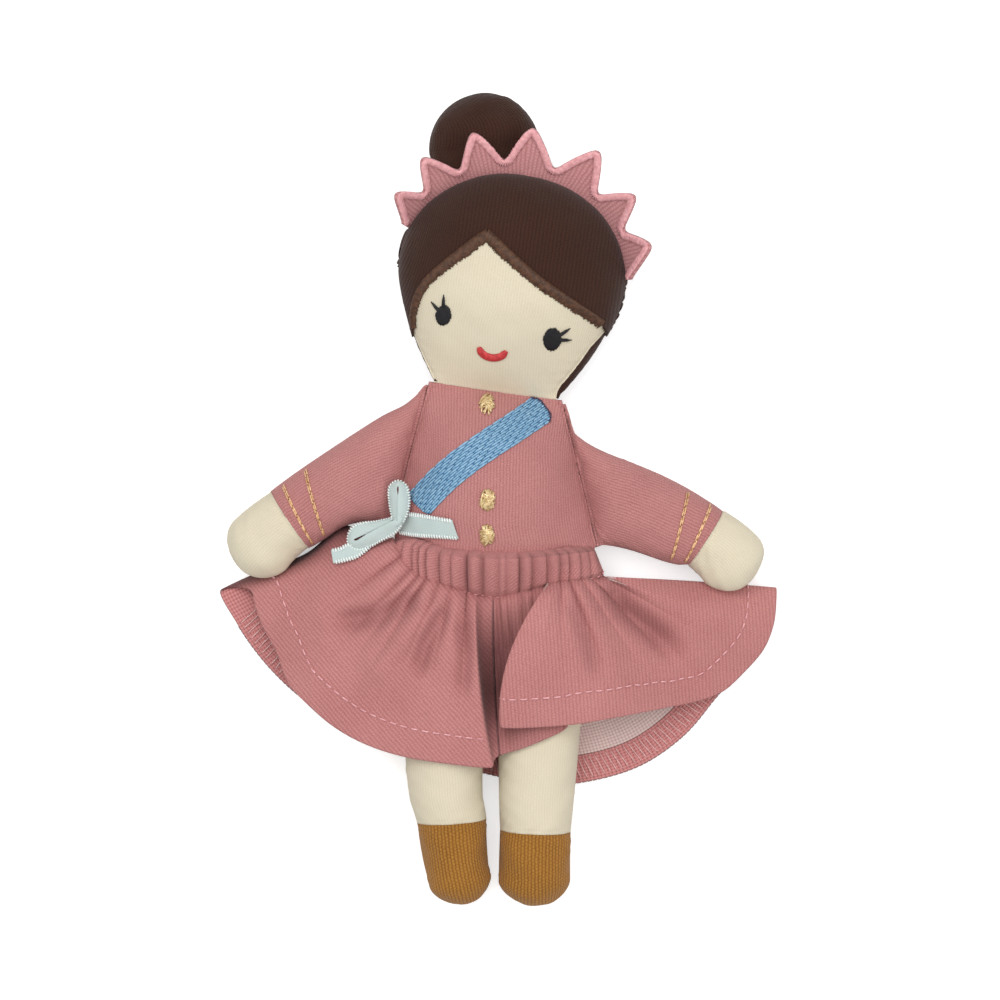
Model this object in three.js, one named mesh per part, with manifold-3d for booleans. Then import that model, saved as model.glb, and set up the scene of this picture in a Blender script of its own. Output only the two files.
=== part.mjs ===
// Pocket-size soft queen doll in millimetres, lying on its back: +Z out of its front, +Y to its head.
// The origin is the middle of the flat of its back, on the surface that the doll lies on.
import * as THREE from 'three';
import { mergeVertices } from 'three/addons/utils/BufferGeometryUtils.js';
import Module from 'manifold-3d';

const wasm = await Module();
wasm.setup();

// Cloth and seams
const CLOTH = 0.6; // thickness of the body cloth
const FIT = 0.3; // clearance between two pieces that touch
const SEAM_GAP = 0.4; // clearance across a sewn edge that a limb swings on
const SLANTED_GAP = SEAM_GAP * 0.55;
const EDGE = 0.15; // half thickness of a pressed seam edge
const SEAM_Z = 9.5; // height of the side seams above the back
const FLAT = 0.5; // how deep the back is pressed flat
const FILL_START = 2.5; // distance from a whole seam to the start of the filling
const FLAT_PATCH = 6.4; // across the patch round the origin that the doll rests on
const THREAD = 0.45; // height of embroidery above the cloth

// Torso, from the slanted neck seam down to the hip seam
const NECK = new THREE.Vector2(0.1, 17.9); // middle of the neck seam
const NECK_HALF = 13.6;
const HEAD_TILT = THREE.MathUtils.degToRad(8); // the head lies turned to the doll's left
const ARMPIT_LEFT = new THREE.Vector2(-20.6, -8);
const ARMPIT_RIGHT = new THREE.Vector2(20.6, -13.2);
const WAIST_Y = -13.6; // lower edge of the jacket
const WAIST_HALF = 20.2;
const HIP_Y = -26.4;
const HIP_HALF = 19.4;
const CHEST = 10.4; // how far the chest swells in front of the side seams

// Head and hair, in the head's own frame: its origin is the middle of the neck seam, +Y along the head
const HEAD_LENGTH = 43.4;
const HEAD_HALF = 22.2;
const HEAD_WIDEST = 23.5; // height of the widest place above the neck
const FACE = 13; // how far the face swells in front of the side seams
const HAIR_CLOTH = 0.6;
const PARTING = [-5.8, 29];
const HAIR_LEFT = [PARTING, [-10.6, 24.5], [-14.2, 21.3], [-16.5, 16], [-18.4, 8.2]];
const HAIR_RIGHT = [PARTING, [-0.3, 23.3], [6.3, 19.2], [13.9, 15.2], [21.8, 12]];
const HAIR_EDGING = 1.7; // width of the satin stitching along the hair
const EYE_LEFT = [-0.545 * HEAD_HALF, 0.566 * HEAD_WIDEST];
const EYE_RIGHT = [0.437 * HEAD_HALF, 0.494 * HEAD_WIDEST];
const EYE_SIZE = [3.3, 4.6];
const LASH_LENGTH = 2.1;
const LASH_WIDTH = 0.6;
const MOUTH = [-1.7, 6.9];
const MOUTH_WIDTH = 6.6;
const LIP_WIDTH = 1.7;

// Bun, sewn into the top seam of the head
const BUN_AT = -7.9; // distance of its middle from the middle of the head
const BUN_RADIUS = 11.2;
const BUN_CENTRE = 5.7; // height of its middle above its seam
const BUN_LEAN = THREE.MathUtils.degToRad(11);
const BUN_DEPTH = 6.4;
const BUN_Z = 5.9; // height of its middle where it lies
const BUN_RISE = 12; // distance from its seam to its full depth
const BUN_DROOP = 6; // distance over which it sinks back to the surface
const BUN_PINCH = 0.72; // width left at the gathered seam
const BUN_MOUTH = [5, 5, 0.8]; // the slit that the gathering leaves in the cover

// Crown, sewn round the top of the head and leaning out over the bun
const CROWN_ENDS = [-74, 85]; // degrees from the top of the head, to its left and right
const CROWN_TIPS = [-64.5, -46.7, -23.7, 0.2, 28.1, 50.8, 71.7];
const CROWN_HEIGHT = 11; // along the leaning cloth
const CROWN_BAND = 1.2; // height of the cloth between two points
const CROWN_LEAN = [36, 61]; // degrees above flat, at the top and at the ends
const CROWN_THICK = 1;
const CROWN_LIFT = 1.4; // height of its middle at the seam above the head's side seams
const CROWN_EDGING = 1.7; // width of the satin stitching round the points

// Arms: each root is the slanted shoulder seam, and the far end is a round hand
const ARM_DEPTH = 5.8;
const ARM_RISE = 12; // distance from the seam to the full depth
const ARM_Z = [SEAM_Z, 7.3, 6.5]; // height of the side seams at the shoulder, cuff and fingertips
const CUFF_LEFT = { at: [-41.2, -7.9], half: 6.9, wrist: 6.4, hand: 6.9, tip: [-52, -16.4] };
const CUFF_RIGHT = { at: [42.3, -11.6], half: 6.4, wrist: 6, hand: 6.6, tip: [52.6, -18.6] };
const BRAID_WIDTH = 0.9;
const BRAID_FROM_CUFF = [2.6, 6.6];

const PAST_CUFF = 0.96; // a hand or shoe is this much thinner than its sleeve or leg

// Legs: each root is half of the hip seam, and the far end is a round shoe
const LEG_DEPTH = 6.4;
const LEG_RISE = 14;
const LEG_Z = [SEAM_Z, 7.6, 4.4];
const LEG_GAP = 0.7; // between the legs at the hip seam
const ANKLE_LEFT = { at: [-8.7, -68.4], half: 7.1, wrist: 6.8, hand: 6.9, tip: [-6.5, -85.2] };
const ANKLE_RIGHT = { at: [8.1, -70.4], half: 7.2, wrist: 7, hand: 7.1, tip: [8, -85.8] };

// Sash, buttons and bow on the jacket
const SASH_ENDS = [[10.9, 13.9], [-14.2, -2.7]];
const SASH_WIDTH = 5.6;
const BUTTONS = { button_top: [-1.6, 15], button_middle: [-1.4, -4], button_bottom: [-1.6, -11] };
const BUTTON_SIZE = [3.2, 4.4, 1.6];
const RIBBON_WIDTH = 4;
const RIBBON = 0.4; // thickness of the bow's ribbon
const KNOT = [-18.2, -7.8, 14];
const KNOT_SIZE = [3.4, 3.6, 2.8];
const LOOP_THICK = 2.2; // across a flattened loop of ribbon
const BOW_LOOPS = { bow_loop_upper: { turn: 99, length: 6.4 }, bow_loop_lower: { turn: 197, length: 9.8 } };
const BOW_TAILS = { bow_tail_left: { turn: 214, length: 13.5 }, bow_tail_right: { turn: -9, length: 8.2 } };
const TAIL_SLOPE = 0.12; // fall of the tail that hangs free over the sleeve

// Skirt: an elastic casing round the waist and one gathered panel spread out on both sides
const CASING_TOP = -14;
const CASING_BOTTOM = -22;
const CASING_CLOTH = 0.4;
const ELASTIC = [0.4, 5.6]; // thickness and height
const CASING_PLAY = 0.25; // room round the elastic
const GATHERS = 18;
const GATHER_DEPTH = 0.7;
const SKIRT_CLOTH = 0.6;
const SKIRT_FALL = [1.7, 4]; // how soon a line sinks to its hem, where the hem is raised and where it lies
const SKIRT_RAISED = [1, 4]; // heights of a hem that lies and of one that is raised
const SKIRT_PLAY = 0.1; // between the spread skirt and the surface below
// Lines of the spread skirt from the casing to the hem, from the doll's right side on over the front:
// the place on the ring round the waist, the end at the hem, and how far the middle is pushed out.
const SKIRT_LINES = [
  [0, [-56, -22.5, 0.9], [-1, 3.8, -1]], [0.01, [-51.7, -21.6, 3], [-1, 4.2, -1.2]],
  [0.03, [-49.3, -22.4, 5], [-1, 4, 0]], [0.05, [-46.8, -29.6, 6.2], [-1, 2.5, 1.2]],
  [0.075, [-41.5, -40.6, 9.4], [0, 0, 1]], [0.11, [-32, -49.1, 13.4], [0, 0, 1]],
  [0.15, [-18.6, -54.6, 16.2], [0, 0, 1]], [0.2, [-9.1, -56.1, 16.8], [0, 0, 1]],
  [0.235, [-1, -56.5, 16.6], [0, 0, 1]], [0.25, [1, -54.8, 15.9], [0, 0, 0.8]],
  [0.285, [9.9, -51.2, 15.9], [0, 0, 1]], [0.33, [18, -48, 17], [0, 0, 1]],
  [0.37, [25.4, -46.8, 15], [0, 0, 1]], [0.41, [33.8, -45.6, 10.4], [0, 0, 1]],
  [0.44, [40.1, -44.7, 6.6], [0, 0, 0.8]], [0.46, [44.2, -43.6, 4.8], [0, 0, 0.8]],
  [0.475, [50, -39.1, 5.4], [0, 0, 1.2]], [0.485, [54.2, -34, 6.4], [0, 0, 1.2]],
  [0.495, [56.7, -24.1, 6], [0, 0, 0]], [0.505, [56.8, -21.9, 3.4], [0, -0.3, -1.4]],
  [0.515, [55.5, -24.3, 1.4], [0, 0, -1]], [0.53, [53.1, -32.1, 0.9], [0, 0, -1]],
  [0.55, [49.1, -39.2, 0.8], [0, 0, -1]], [0.58, [44.8, -44.5, 0.8], [0, 0, -1]],
  [0.61, [38.5, -51.9, 0.8], [0, 0, -1]], [0.65, [29.7, -58, 0.8], [0, 0, -1]],
  [0.7, [19.3, -61.2, 0.8], [0, 0, -1]], [0.75, [0, -60, 0.8], [0, 0, -1]],
  [0.8, [-12.2, -57, 0.8], [0, 0, -1]], [0.86, [-26, -52.3, 0.8], [0, 0, -1]],
  [0.9, [-36, -47, 0.8], [0, 0, -1]], [0.94, [-44.6, -39.6, 0.8], [0, 0, -1]],
  [0.97, [-51, -31, 0.8], [0, 1.5, -1]],
];

// Mesh fineness
const COLUMNS = 9; // steps across a padded form
const INNER_COLUMNS = 6; // steps across a hollow or a filling
const LENS_POWER = 2.2;
const ROUND = 0.58; // fullness of a padded edge, where 1 is a pointed lens
const WAIST_ROUND = 0.75; // the same for the band round the waist

const COLOURS = {
  cream: 0xebe1c8, rose: 0xbe7373, crown: 0xd77d82, satin: 0xeba0a5, hair: 0x46281e, hairEdge: 0x644128,
  sash: 0x69a5d7, ribbon: 0xbed7d7, shoe: 0xa56e2d, gold: 0xe1a54b, thread: 0x1e1a1a, lip: 0xc8282d,
  stuffing: 0xf5f5f0, elastic: 0xf0f0f0,
};

// Small geometry helpers

function finish(colour, roughness = 0.9, metalness = 0) {
  return new THREE.MeshStandardMaterial({ color: COLOURS[colour], roughness, metalness });
}

function point2([x, y]) {
  return new THREE.Vector2(x, y);
}

// Swell of a stuffed form at a distance from its seam: it climbs at once and is full at the given length.
function swell(distance, length) {
  return 1 - (1 - Math.min(Math.max(distance, 0) / length, 1)) ** 2;
}

// Quarter-round fall of a stuffed form towards its closed end.
function roundOff(distance, radius) {
  return Math.sqrt(swell(distance, radius));
}

function evenRows(from, to, count) {
  return Array.from({ length: count + 1 }, (_, k) => from + (to - from) * k / count);
}

// Rows that crowd towards a round end and stop just short of it.
function roundRows(from, to, count, lastAngle) {
  return evenRows(0, lastAngle, count).map(angle => from + (to - from) * Math.sin(angle));
}

// A closed geometry from points and triangles, with its faces turned outwards.
function closedGeometry(points, triangles) {
  const volume = triangles.reduce((sum, [a, b, c]) => {
    return sum + points[a].clone().cross(points[b]).dot(points[c]);
  }, 0);
  const index = triangles.flatMap(([a, b, c]) => (volume > 0 ? [a, b, c] : [a, c, b]));
  const geometry = new THREE.BufferGeometry().setFromPoints(points);
  geometry.setIndex(index);
  return geometry;
}

// Joins rings of matching points into a closed skin. A strip between its two halves closes each end ring.
function loft(rings) {
  const size = rings[0].length;
  const points = rings.flat();
  const triangles = [];
  for (let i = 0; i < rings.length - 1; i++) {
    for (let j = 0; j < size; j++) {
      const [a, b] = [i * size + j, i * size + (j + 1) % size];
      triangles.push([a, b, a + size], [b, b + size, a + size]);
    }
  }
  for (const [first, turned] of [[0, true], [(rings.length - 1) * size, false]]) {
    for (let j = 0; j < size / 2 - 1; j++) {
      const [a, b, c, d] = [j, j + 1, size - 1 - j, size - 2 - j].map(k => first + k);
      const strip = b === d ? [[a, b, c]] : [[a, b, c], [b, d, c]];
      triangles.push(...strip.map(([p, q, r]) => (turned ? [p, r, q] : [p, q, r])));
    }
  }
  return closedGeometry(points, triangles);
}

// Joins rings round a closed loop, such as a band.
function closedBand(rings) {
  const size = rings[0].length;
  const total = rings.length * size;
  const triangles = [];
  for (let i = 0; i < rings.length; i++) {
    for (let j = 0; j < size; j++) {
      const [a, b] = [i * size + j, i * size + (j + 1) % size];
      const [c, d] = [(a + size) % total, (b + size) % total];
      triangles.push([a, b, c], [b, d, c]);
    }
  }
  return closedGeometry(rings.flat(), triangles);
}

function solid(geometry) {
  const bare = geometry.clone();
  bare.deleteAttribute('normal');
  bare.deleteAttribute('uv');
  const merged = mergeVertices(bare, 1e-5);
  const mesh = new wasm.Mesh({
    numProp: 3,
    vertProperties: new Float32Array(merged.attributes.position.array),
    triVerts: new Uint32Array(merged.index.array),
  });
  return new wasm.Manifold(mesh);
}

function geometryOf(shape) {
  const { vertProperties, triVerts, numProp } = shape.getMesh();
  const geometry = new THREE.BufferGeometry();
  const positions = new Float32Array(vertProperties.length / numProp * 3);
  for (let v = 0; v < positions.length / 3; v++) {
    positions.set(vertProperties.subarray(v * numProp, v * numProp + 3), v * 3);
  }
  geometry.setAttribute('position', new THREE.BufferAttribute(positions, 3));
  geometry.setIndex(new THREE.BufferAttribute(new Uint32Array(triVerts), 1));
  return geometry;
}

function box(minimum, maximum) {
  const size = maximum.map((value, k) => value - minimum[k]);
  const geometry = new THREE.BoxGeometry(...size);
  geometry.translate(...maximum.map((value, k) => (value + minimum[k]) / 2));
  return solid(geometry);
}

// An upright block with the given outline.
function prism(outline, bottom, top) {
  const shape = new THREE.Shape(outline);
  const geometry = new THREE.ExtrudeGeometry(shape, { depth: top - bottom, bevelEnabled: false });
  geometry.translate(0, 0, bottom);
  return solid(geometry);
}

const FAR = 200;
const ABOVE_SEAM = box([-FAR, -FAR, SEAM_Z], [FAR, FAR, FAR]);
const BELOW_SEAM = box([-FAR, -FAR, -FAR], [FAR, FAR, SEAM_Z]);
const FLOOR = box([-FAR, -FAR, -FAR], [FAR, FAR, 0]);

// Outline of a flat strip along a line of points.
function stripOutline(points, width) {
  const sides = [[], []];
  points.forEach((p, k) => {
    const before = points[Math.max(k - 1, 0)];
    const after = points[Math.min(k + 1, points.length - 1)];
    const along = after.clone().sub(before).normalize();
    const across = new THREE.Vector2(-along.y, along.x).multiplyScalar(width / 2);
    sides[0].push(p.clone().add(across));
    sides[1].push(p.clone().sub(across));
  });
  return [...sides[0], ...sides[1].reverse()];
}

function ellipseOutline([x, y], [width, height], steps = 12, turn = 0) {
  return new THREE.EllipseCurve(x, y, width / 2, height / 2, 0, Math.PI * 2, false, turn)
    .getPoints(steps).slice(0, -1);
}

// Padded forms

// One cross-section of a padded form as a ring, front row then back row. a and b are its two seam points,
// mid the height of the seam, front and back how far it swells. offset grows the section or shrinks it.
function lensRing({ a, b, mid, front, back, round = ROUND }, offset, columns) {
  const across = b.clone().sub(a).normalize();
  const edge = offset < 0 ? EDGE / 3 : EDGE + offset;
  const loss = Math.min(offset, 0);
  const row = side => Array.from({ length: columns + 1 }, (_, k) => {
    const x = -Math.cos(Math.PI * k / columns);
    const lens = (1 - Math.abs(x) ** LENS_POWER) ** round;
    const p = a.clone().lerp(b, (x + 1) / 2).addScaledVector(across, x * offset);
    const height = side > 0 ? edge + (front + loss) * lens : -edge - (back + loss) * lens;
    return new THREE.Vector3(p.x, p.y, mid + height);
  });
  return [...row(1), ...row(-1).reverse()];
}

function paddedForm(section, rows, offset = 0, columns = COLUMNS) {
  return solid(loft(rows.map(t => lensRing(section(t), offset, columns))));
}

// The hollow of a form, or with the clearance added its filling.
function innerForm(section, rows, offset) {
  return paddedForm(section, rows, offset, INNER_COLUMNS);
}

// Torso

const neckEnd = side => new THREE.Vector2(side * NECK_HALF, 0)
  .rotateAround(new THREE.Vector2(), -HEAD_TILT).add(NECK);
const SHOULDER_LEFT = neckEnd(-1);
const SHOULDER_RIGHT = neckEnd(1);
const LEFT_EDGE = [SHOULDER_LEFT, ARMPIT_LEFT, point2([-WAIST_HALF, WAIST_Y]), point2([-HIP_HALF, HIP_Y])];
const RIGHT_EDGE = [SHOULDER_RIGHT, ARMPIT_RIGHT, point2([WAIST_HALF, WAIST_Y]), point2([HIP_HALF, HIP_Y])];

// Where a side seam of the torso is at height y.
function edgeAt(edge, y) {
  const last = edge.length - 2;
  const k = Math.min(edge.findIndex((p, i) => i > last || y >= edge[i + 1].y), last);
  const [above, below] = [edge[k], edge[k + 1]];
  return new THREE.Vector2(THREE.MathUtils.mapLinear(y, above.y, below.y, above.x, below.x), y);
}

// t runs from 0 at the neck seam to 1 at the hip seam. Half of each seam's gap is taken off the edges,
// and a little more off the slanted sides, where it is measured level.
function torsoSection(t) {
  const bottom = HIP_Y + SEAM_GAP / 2;
  const a = edgeAt(LEFT_EDGE, THREE.MathUtils.lerp(SHOULDER_LEFT.y - SEAM_GAP / 2, bottom, t));
  const b = edgeAt(RIGHT_EDGE, THREE.MathUtils.lerp(SHOULDER_RIGHT.y - SEAM_GAP / 2, bottom, t));
  a.x += SLANTED_GAP;
  b.x -= SLANTED_GAP;
  const y = (a.y + b.y) / 2;
  const full = y > 0 ? swell(NECK.y - SEAM_GAP / 2 - y, NECK.y) : swell(y - bottom, -HIP_Y);
  return { a, b, mid: SEAM_Z, front: CHEST * full, back: (SEAM_Z + FLAT - EDGE) * full, round: 1 };
}

const TORSO_ROWS = evenRows(0, 1, 14);
const TORSO_INNER_ROWS = evenRows(0.07, 0.93, 9);
const torsoForm = offset => paddedForm(torsoSection, TORSO_ROWS, offset);
const torsoInside = offset => innerForm(torsoSection, TORSO_INNER_ROWS, offset);

// The floor is cut in two steps, so that the patch round the origin stays one flat face.
const REST_PATCH = prism(ellipseOutline([0, 0], [FLAT_PATCH, FLAT_PATCH], 3, Math.PI / 2), -FLAT * 2, 0);
const HIP_SIDE = box([-FAR, -FAR, -FAR], [FAR, WAIST_Y - FIT / 2, FAR]);
const NECK_SIDE = box([-FAR, WAIST_Y + FIT / 2, -FAR], [FAR, FAR, FAR]);
const torsoShell = torsoForm(0).subtract(torsoInside(-CLOTH));
const jacket = torsoShell.intersect(NECK_SIDE);

const doll = new THREE.Group();

function addPiece(parent, name, shape, material) {
  const geometry = shape.getMesh ? geometryOf(shape) : shape;
  geometry.computeVertexNormals();
  const mesh = new THREE.Mesh(geometry, material);
  mesh.name = name;
  parent.add(mesh);
  return mesh;
}

addPiece(doll, 'jacket_front', jacket.intersect(ABOVE_SEAM), finish('rose'));
const jacketBack = jacket.intersect(BELOW_SEAM).subtract(FLOOR.subtract(REST_PATCH)).subtract(REST_PATCH);
addPiece(doll, 'jacket_back', jacketBack, finish('rose'));
addPiece(doll, 'lower_body', torsoShell.intersect(HIP_SIDE), finish('cream'));
addPiece(doll, 'torso_stuffing', torsoInside(-CLOTH - FIT), finish('stuffing', 1));

// The sash has a round upper end and is cut square behind the bow.
const sashLine = SASH_ENDS.map(point2);
const sashRound = ellipseOutline(SASH_ENDS[0], [SASH_WIDTH, SASH_WIDTH], 16);
const sashBlock = prism(stripOutline(sashLine, SASH_WIDTH), SEAM_Z + EDGE, FAR)
  .add(prism(sashRound, SEAM_Z + EDGE, FAR));
const torsoThread = torsoForm(FIT + THREAD).subtract(torsoForm(FIT));
addPiece(doll, 'sash', torsoThread.intersect(sashBlock), finish('sash', 0.6));

// Height of the chest at a place in plan.
function chestHeight(x, y) {
  const place = THREE.MathUtils.mapLinear(y, NECK.y, HIP_Y, 0, 1);
  const { a, b, mid, front } = torsoSection(THREE.MathUtils.clamp(place, 0, 1));
  const side = THREE.MathUtils.clamp(THREE.MathUtils.mapLinear(x, a.x, b.x, -1, 1), -1, 1);
  return mid + EDGE + front * (1 - Math.abs(side) ** LENS_POWER);
}

// Each button is a domed knot of gold thread with its underside on the jacket.
const jacketClearance = torsoForm(FIT);
for (const [name, [x, y]] of Object.entries(BUTTONS)) {
  const dome = new THREE.SphereGeometry(0.5, 10, 8);
  dome.scale(...BUTTON_SIZE);
  dome.translate(x, y, chestHeight(x, y) + FIT + BUTTON_SIZE[2] * 0.15);
  addPiece(doll, name, solid(dome).subtract(jacketClearance), finish('gold', 0.4, 0.5));
}

// Bow of narrow ribbon at the lower end of the sash

const knot = new THREE.SphereGeometry(0.5, 10, 8);
knot.scale(...KNOT_SIZE);
knot.translate(...KNOT);
const knotSolid = solid(knot).subtract(jacketClearance);
addPiece(doll, 'bow_knot', knotSolid, finish('ribbon', 0.35));

// A loop is the ribbon bent back on itself: a closed band drawn in X and Z, flatter towards the knot.
function ribbonLoop(length) {
  const line = turn => {
    const open = (LOOP_THICK - RIBBON) / 2 * (0.6 + 0.4 * Math.sin(turn / 2) ** 2);
    return new THREE.Vector2(length / 2 * (1 - Math.cos(turn)), open * Math.sin(turn));
  };
  const rings = evenRows(0, Math.PI * 2, 20).slice(0, -1).map(turn => {
    const along = line(turn + 0.01).sub(line(turn - 0.01)).normalize();
    const thick = new THREE.Vector2(-along.y, along.x).multiplyScalar(RIBBON / 2);
    const [outer, inner] = [line(turn).sub(thick), line(turn).add(thick)];
    const half = RIBBON_WIDTH / 2;
    return [[outer, -half], [outer, half], [inner, half], [inner, -half]]
      .map(([p, y]) => new THREE.Vector3(p.x, y, p.y));
  });
  return closedBand(rings);
}

// A tail is a strip of ribbon at the height given by a function, with a slanted end.
function ribbonTail({ turn, length }, start, heightAt) {
  const angle = THREE.MathUtils.degToRad(turn);
  const knotAt = point2(KNOT);
  const rings = evenRows(0, 1, 5).map(share => {
    const corner = side => {
      const reach = start + share * (length - side * RIBBON_WIDTH / 5);
      const p = new THREE.Vector2(reach, side * RIBBON_WIDTH / 2);
      return p.rotateAround(new THREE.Vector2(), angle).add(knotAt);
    };
    const [right, left] = [corner(-1), corner(1)];
    const raised = (p, up) => new THREE.Vector3(p.x, p.y, heightAt(p.x, p.y) + up);
    return [raised(right, 0), raised(left, 0), raised(left, RIBBON), raised(right, RIBBON)];
  });
  return loft(rings);
}

const bowStart = KNOT_SIZE[0] / 2 + FIT;
for (const [name, { turn, length }] of Object.entries(BOW_LOOPS)) {
  const loop = ribbonLoop(length);
  loop.translate(bowStart, 0, 0);
  loop.rotateZ(THREE.MathUtils.degToRad(turn));
  loop.translate(...KNOT);
  addPiece(doll, name, loop, finish('ribbon', 0.35));
}
const overSleeve = (x, y) => KNOT[2] - KNOT_SIZE[2] / 2 - TAIL_SLOPE * Math.hypot(x - KNOT[0], y - KNOT[1]);
const overChest = (x, y) => Math.max(chestHeight(x, y) + FIT * 1.5, KNOT[2] - KNOT_SIZE[2] / 2);
const tailHeights = { bow_tail_left: overSleeve, bow_tail_right: overChest };
for (const [name, spec] of Object.entries(BOW_TAILS)) {
  addPiece(doll, name, ribbonTail(spec, bowStart, tailHeights[name]), finish('ribbon', 0.35));
}

// Skirt

// A point of the ring round the waist at height y. u runs once round, front first, from the doll's right.
function waistPoint(u, y, offset) {
  const { a, b, front, back } = torsoSection(THREE.MathUtils.mapLinear(y, NECK.y, HIP_Y, 0, 1));
  const angle = u * Math.PI * 2;
  const across = -Math.cos(angle);
  const lens = (1 - Math.min(Math.abs(across), 1) ** LENS_POWER) ** WAIST_ROUND;
  const depth = Math.sin(angle) > 0 ? front + offset : -back - offset;
  const x = THREE.MathUtils.lerp(a.x, b.x, (across + 1) / 2) + across * offset;
  return new THREE.Vector3(x, y, SEAM_Z + depth * lens);
}

const casingInner = FIT + EDGE;
const elasticInner = casingInner + CASING_CLOTH + CASING_PLAY;
const casingOuter = elasticInner + ELASTIC[0] + CASING_PLAY + CASING_CLOTH;

// The casing is folded over at the top and open at the bottom, round the elastic. Its outer wall is gathered.
const casingSteps = GATHERS * 4;
const casingRings = Array.from({ length: casingSteps }, (_, k) => {
  const u = k / casingSteps;
  const front = Math.max(Math.sin(u * Math.PI * 2), 0);
  const gather = GATHER_DEPTH * front * (1 - Math.cos(u * GATHERS * Math.PI * 2)) / 2;
  const inside = casingOuter - CASING_CLOTH;
  return [
    waistPoint(u, CASING_BOTTOM, casingOuter + gather),
    waistPoint(u, CASING_TOP, casingOuter + gather),
    waistPoint(u, CASING_TOP, casingInner),
    waistPoint(u, CASING_BOTTOM, casingInner),
    waistPoint(u, CASING_BOTTOM, casingInner + CASING_CLOTH),
    waistPoint(u, CASING_TOP - CASING_CLOTH, casingInner + CASING_CLOTH),
    waistPoint(u, CASING_TOP - CASING_CLOTH, inside + gather),
    waistPoint(u, CASING_BOTTOM, inside + gather),
  ];
});
addPiece(doll, 'skirt_waistband', closedBand(casingRings), finish('rose'));

const elasticTop = CASING_TOP - CASING_CLOTH - CASING_PLAY - FIT;
const elasticRings = evenRows(0, 1, casingSteps / 2).slice(0, -1).map(u => [
  waistPoint(u, elasticTop - ELASTIC[1], elasticInner + ELASTIC[0]),
  waistPoint(u, elasticTop, elasticInner + ELASTIC[0]),
  waistPoint(u, elasticTop, elasticInner),
  waistPoint(u, elasticTop - ELASTIC[1], elasticInner),
]);
addPiece(doll, 'waist_elastic', closedBand(elasticRings), finish('elastic', 0.8));

// Middle surface of the skirt panel. u runs round it through the lines above, v from the casing to the hem.
const closedLine = points => new THREE.CatmullRomCurve3(points.map(p => new THREE.Vector3(...p)), true);
const hemLine = closedLine(SKIRT_LINES.map(([, hem]) => hem));
const bulgeLine = closedLine(SKIRT_LINES.map(([, , bulge]) => bulge));

function ringPlace(u) {
  const place = u * SKIRT_LINES.length;
  const k = Math.floor(place) % SKIRT_LINES.length;
  const next = k + 1 < SKIRT_LINES.length ? SKIRT_LINES[k + 1][0] : 1;
  return THREE.MathUtils.lerp(SKIRT_LINES[k][0], next, place - Math.floor(place));
}

function skirtPoint(u, v) {
  const start = waistPoint(ringPlace(u), CASING_BOTTOM - FIT * 2, casingOuter - CASING_CLOTH / 2);
  const hem = hemLine.getPoint(u);
  const raised = THREE.MathUtils.smoothstep(hem.z, ...SKIRT_RAISED);
  const drop = 1 - (1 - v) ** THREE.MathUtils.lerp(SKIRT_FALL[1], SKIRT_FALL[0], raised);
  const point = start.clone().lerp(hem, v).setZ(THREE.MathUtils.lerp(start.z, hem.z, drop));
  point.addScaledVector(bulgeLine.getPoint(u), 4 * v * (1 - v));
  return point.setZ(Math.max(point.z, SKIRT_CLOTH / 2 + SKIRT_PLAY));
}

function skirtNormal(u, v) {
  const step = 1e-3;
  const top = Math.min(v + step, 1);
  const along = skirtPoint((u + step) % 1, v).sub(skirtPoint((u + 1 - step) % 1, v));
  const down = skirtPoint(u, top).sub(skirtPoint(u, top - step * 2 < 0 ? 0 : top - step * 2));
  return along.cross(down).normalize();
}

const skirtRows = evenRows(0, 1, 7);
const skirtRings = evenRows(0, 1, SKIRT_LINES.length * 2).slice(0, -1).map(u => {
  const side = sign => skirtRows.map(v => {
    return skirtPoint(u, v).addScaledVector(skirtNormal(u, v), sign * SKIRT_CLOTH / 2);
  });
  return [...side(1), ...side(-1).reverse()];
});
addPiece(doll, 'skirt_panel', closedBand(skirtRings), finish('rose'));

// Head, in its own frame

const head = new THREE.Group();
head.position.set(NECK.x, NECK.y, 0);
head.rotation.z = -HEAD_TILT;
doll.add(head);

// Half width of the head at a height above the neck seam: a jaw that narrows to the neck under a round top.
function headHalf(y) {
  if (y > HEAD_WIDEST) {
    return HEAD_HALF * Math.sqrt(Math.max(1 - ((y - HEAD_WIDEST) / (HEAD_LENGTH - HEAD_WIDEST)) ** 2, 0));
  }
  return HEAD_HALF - (HEAD_HALF - NECK_HALF) * ((HEAD_WIDEST - y) / HEAD_WIDEST) ** 1.9;
}

function headSection(y) {
  const half = headHalf(y);
  const full = y > HEAD_WIDEST ? half / HEAD_HALF : swell(y, HEAD_WIDEST);
  return {
    a: new THREE.Vector2(-half, y),
    b: new THREE.Vector2(half, y),
    mid: SEAM_Z,
    front: FACE * full,
    back: (SEAM_Z + FLAT - EDGE) * full,
  };
}

const headRows = (first, last, count) => [
  ...evenRows(first, HEAD_WIDEST, count).slice(0, -1),
  ...roundRows(HEAD_WIDEST, HEAD_LENGTH, count - 1, last),
];
const headForm = offset => paddedForm(headSection, headRows(SEAM_GAP / 2, 1.5, 7), offset);
const headInside = offset => innerForm(headSection, headRows(FILL_START, 1.36, 5), offset);
const headShell = headForm(0).subtract(headInside(-CLOTH));
addPiece(head, 'face_panel', headShell.intersect(ABOVE_SEAM), finish('cream'));
addPiece(head, 'hair_back', headShell.intersect(BELOW_SEAM).subtract(FLOOR), finish('hair'));
addPiece(head, 'head_stuffing', headInside(-CLOTH - FIT), finish('stuffing', 1));

// Outline of the head, open at the neck.
function headOutline() {
  const right = roundRows(SEAM_GAP, HEAD_LENGTH, 12, Math.PI / 2).map(y => new THREE.Vector2(headHalf(y), y));
  const left = right.slice(0, -1).reverse().map(p => new THREE.Vector2(-p.x, p.y));
  return [...right, ...left];
}

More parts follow.
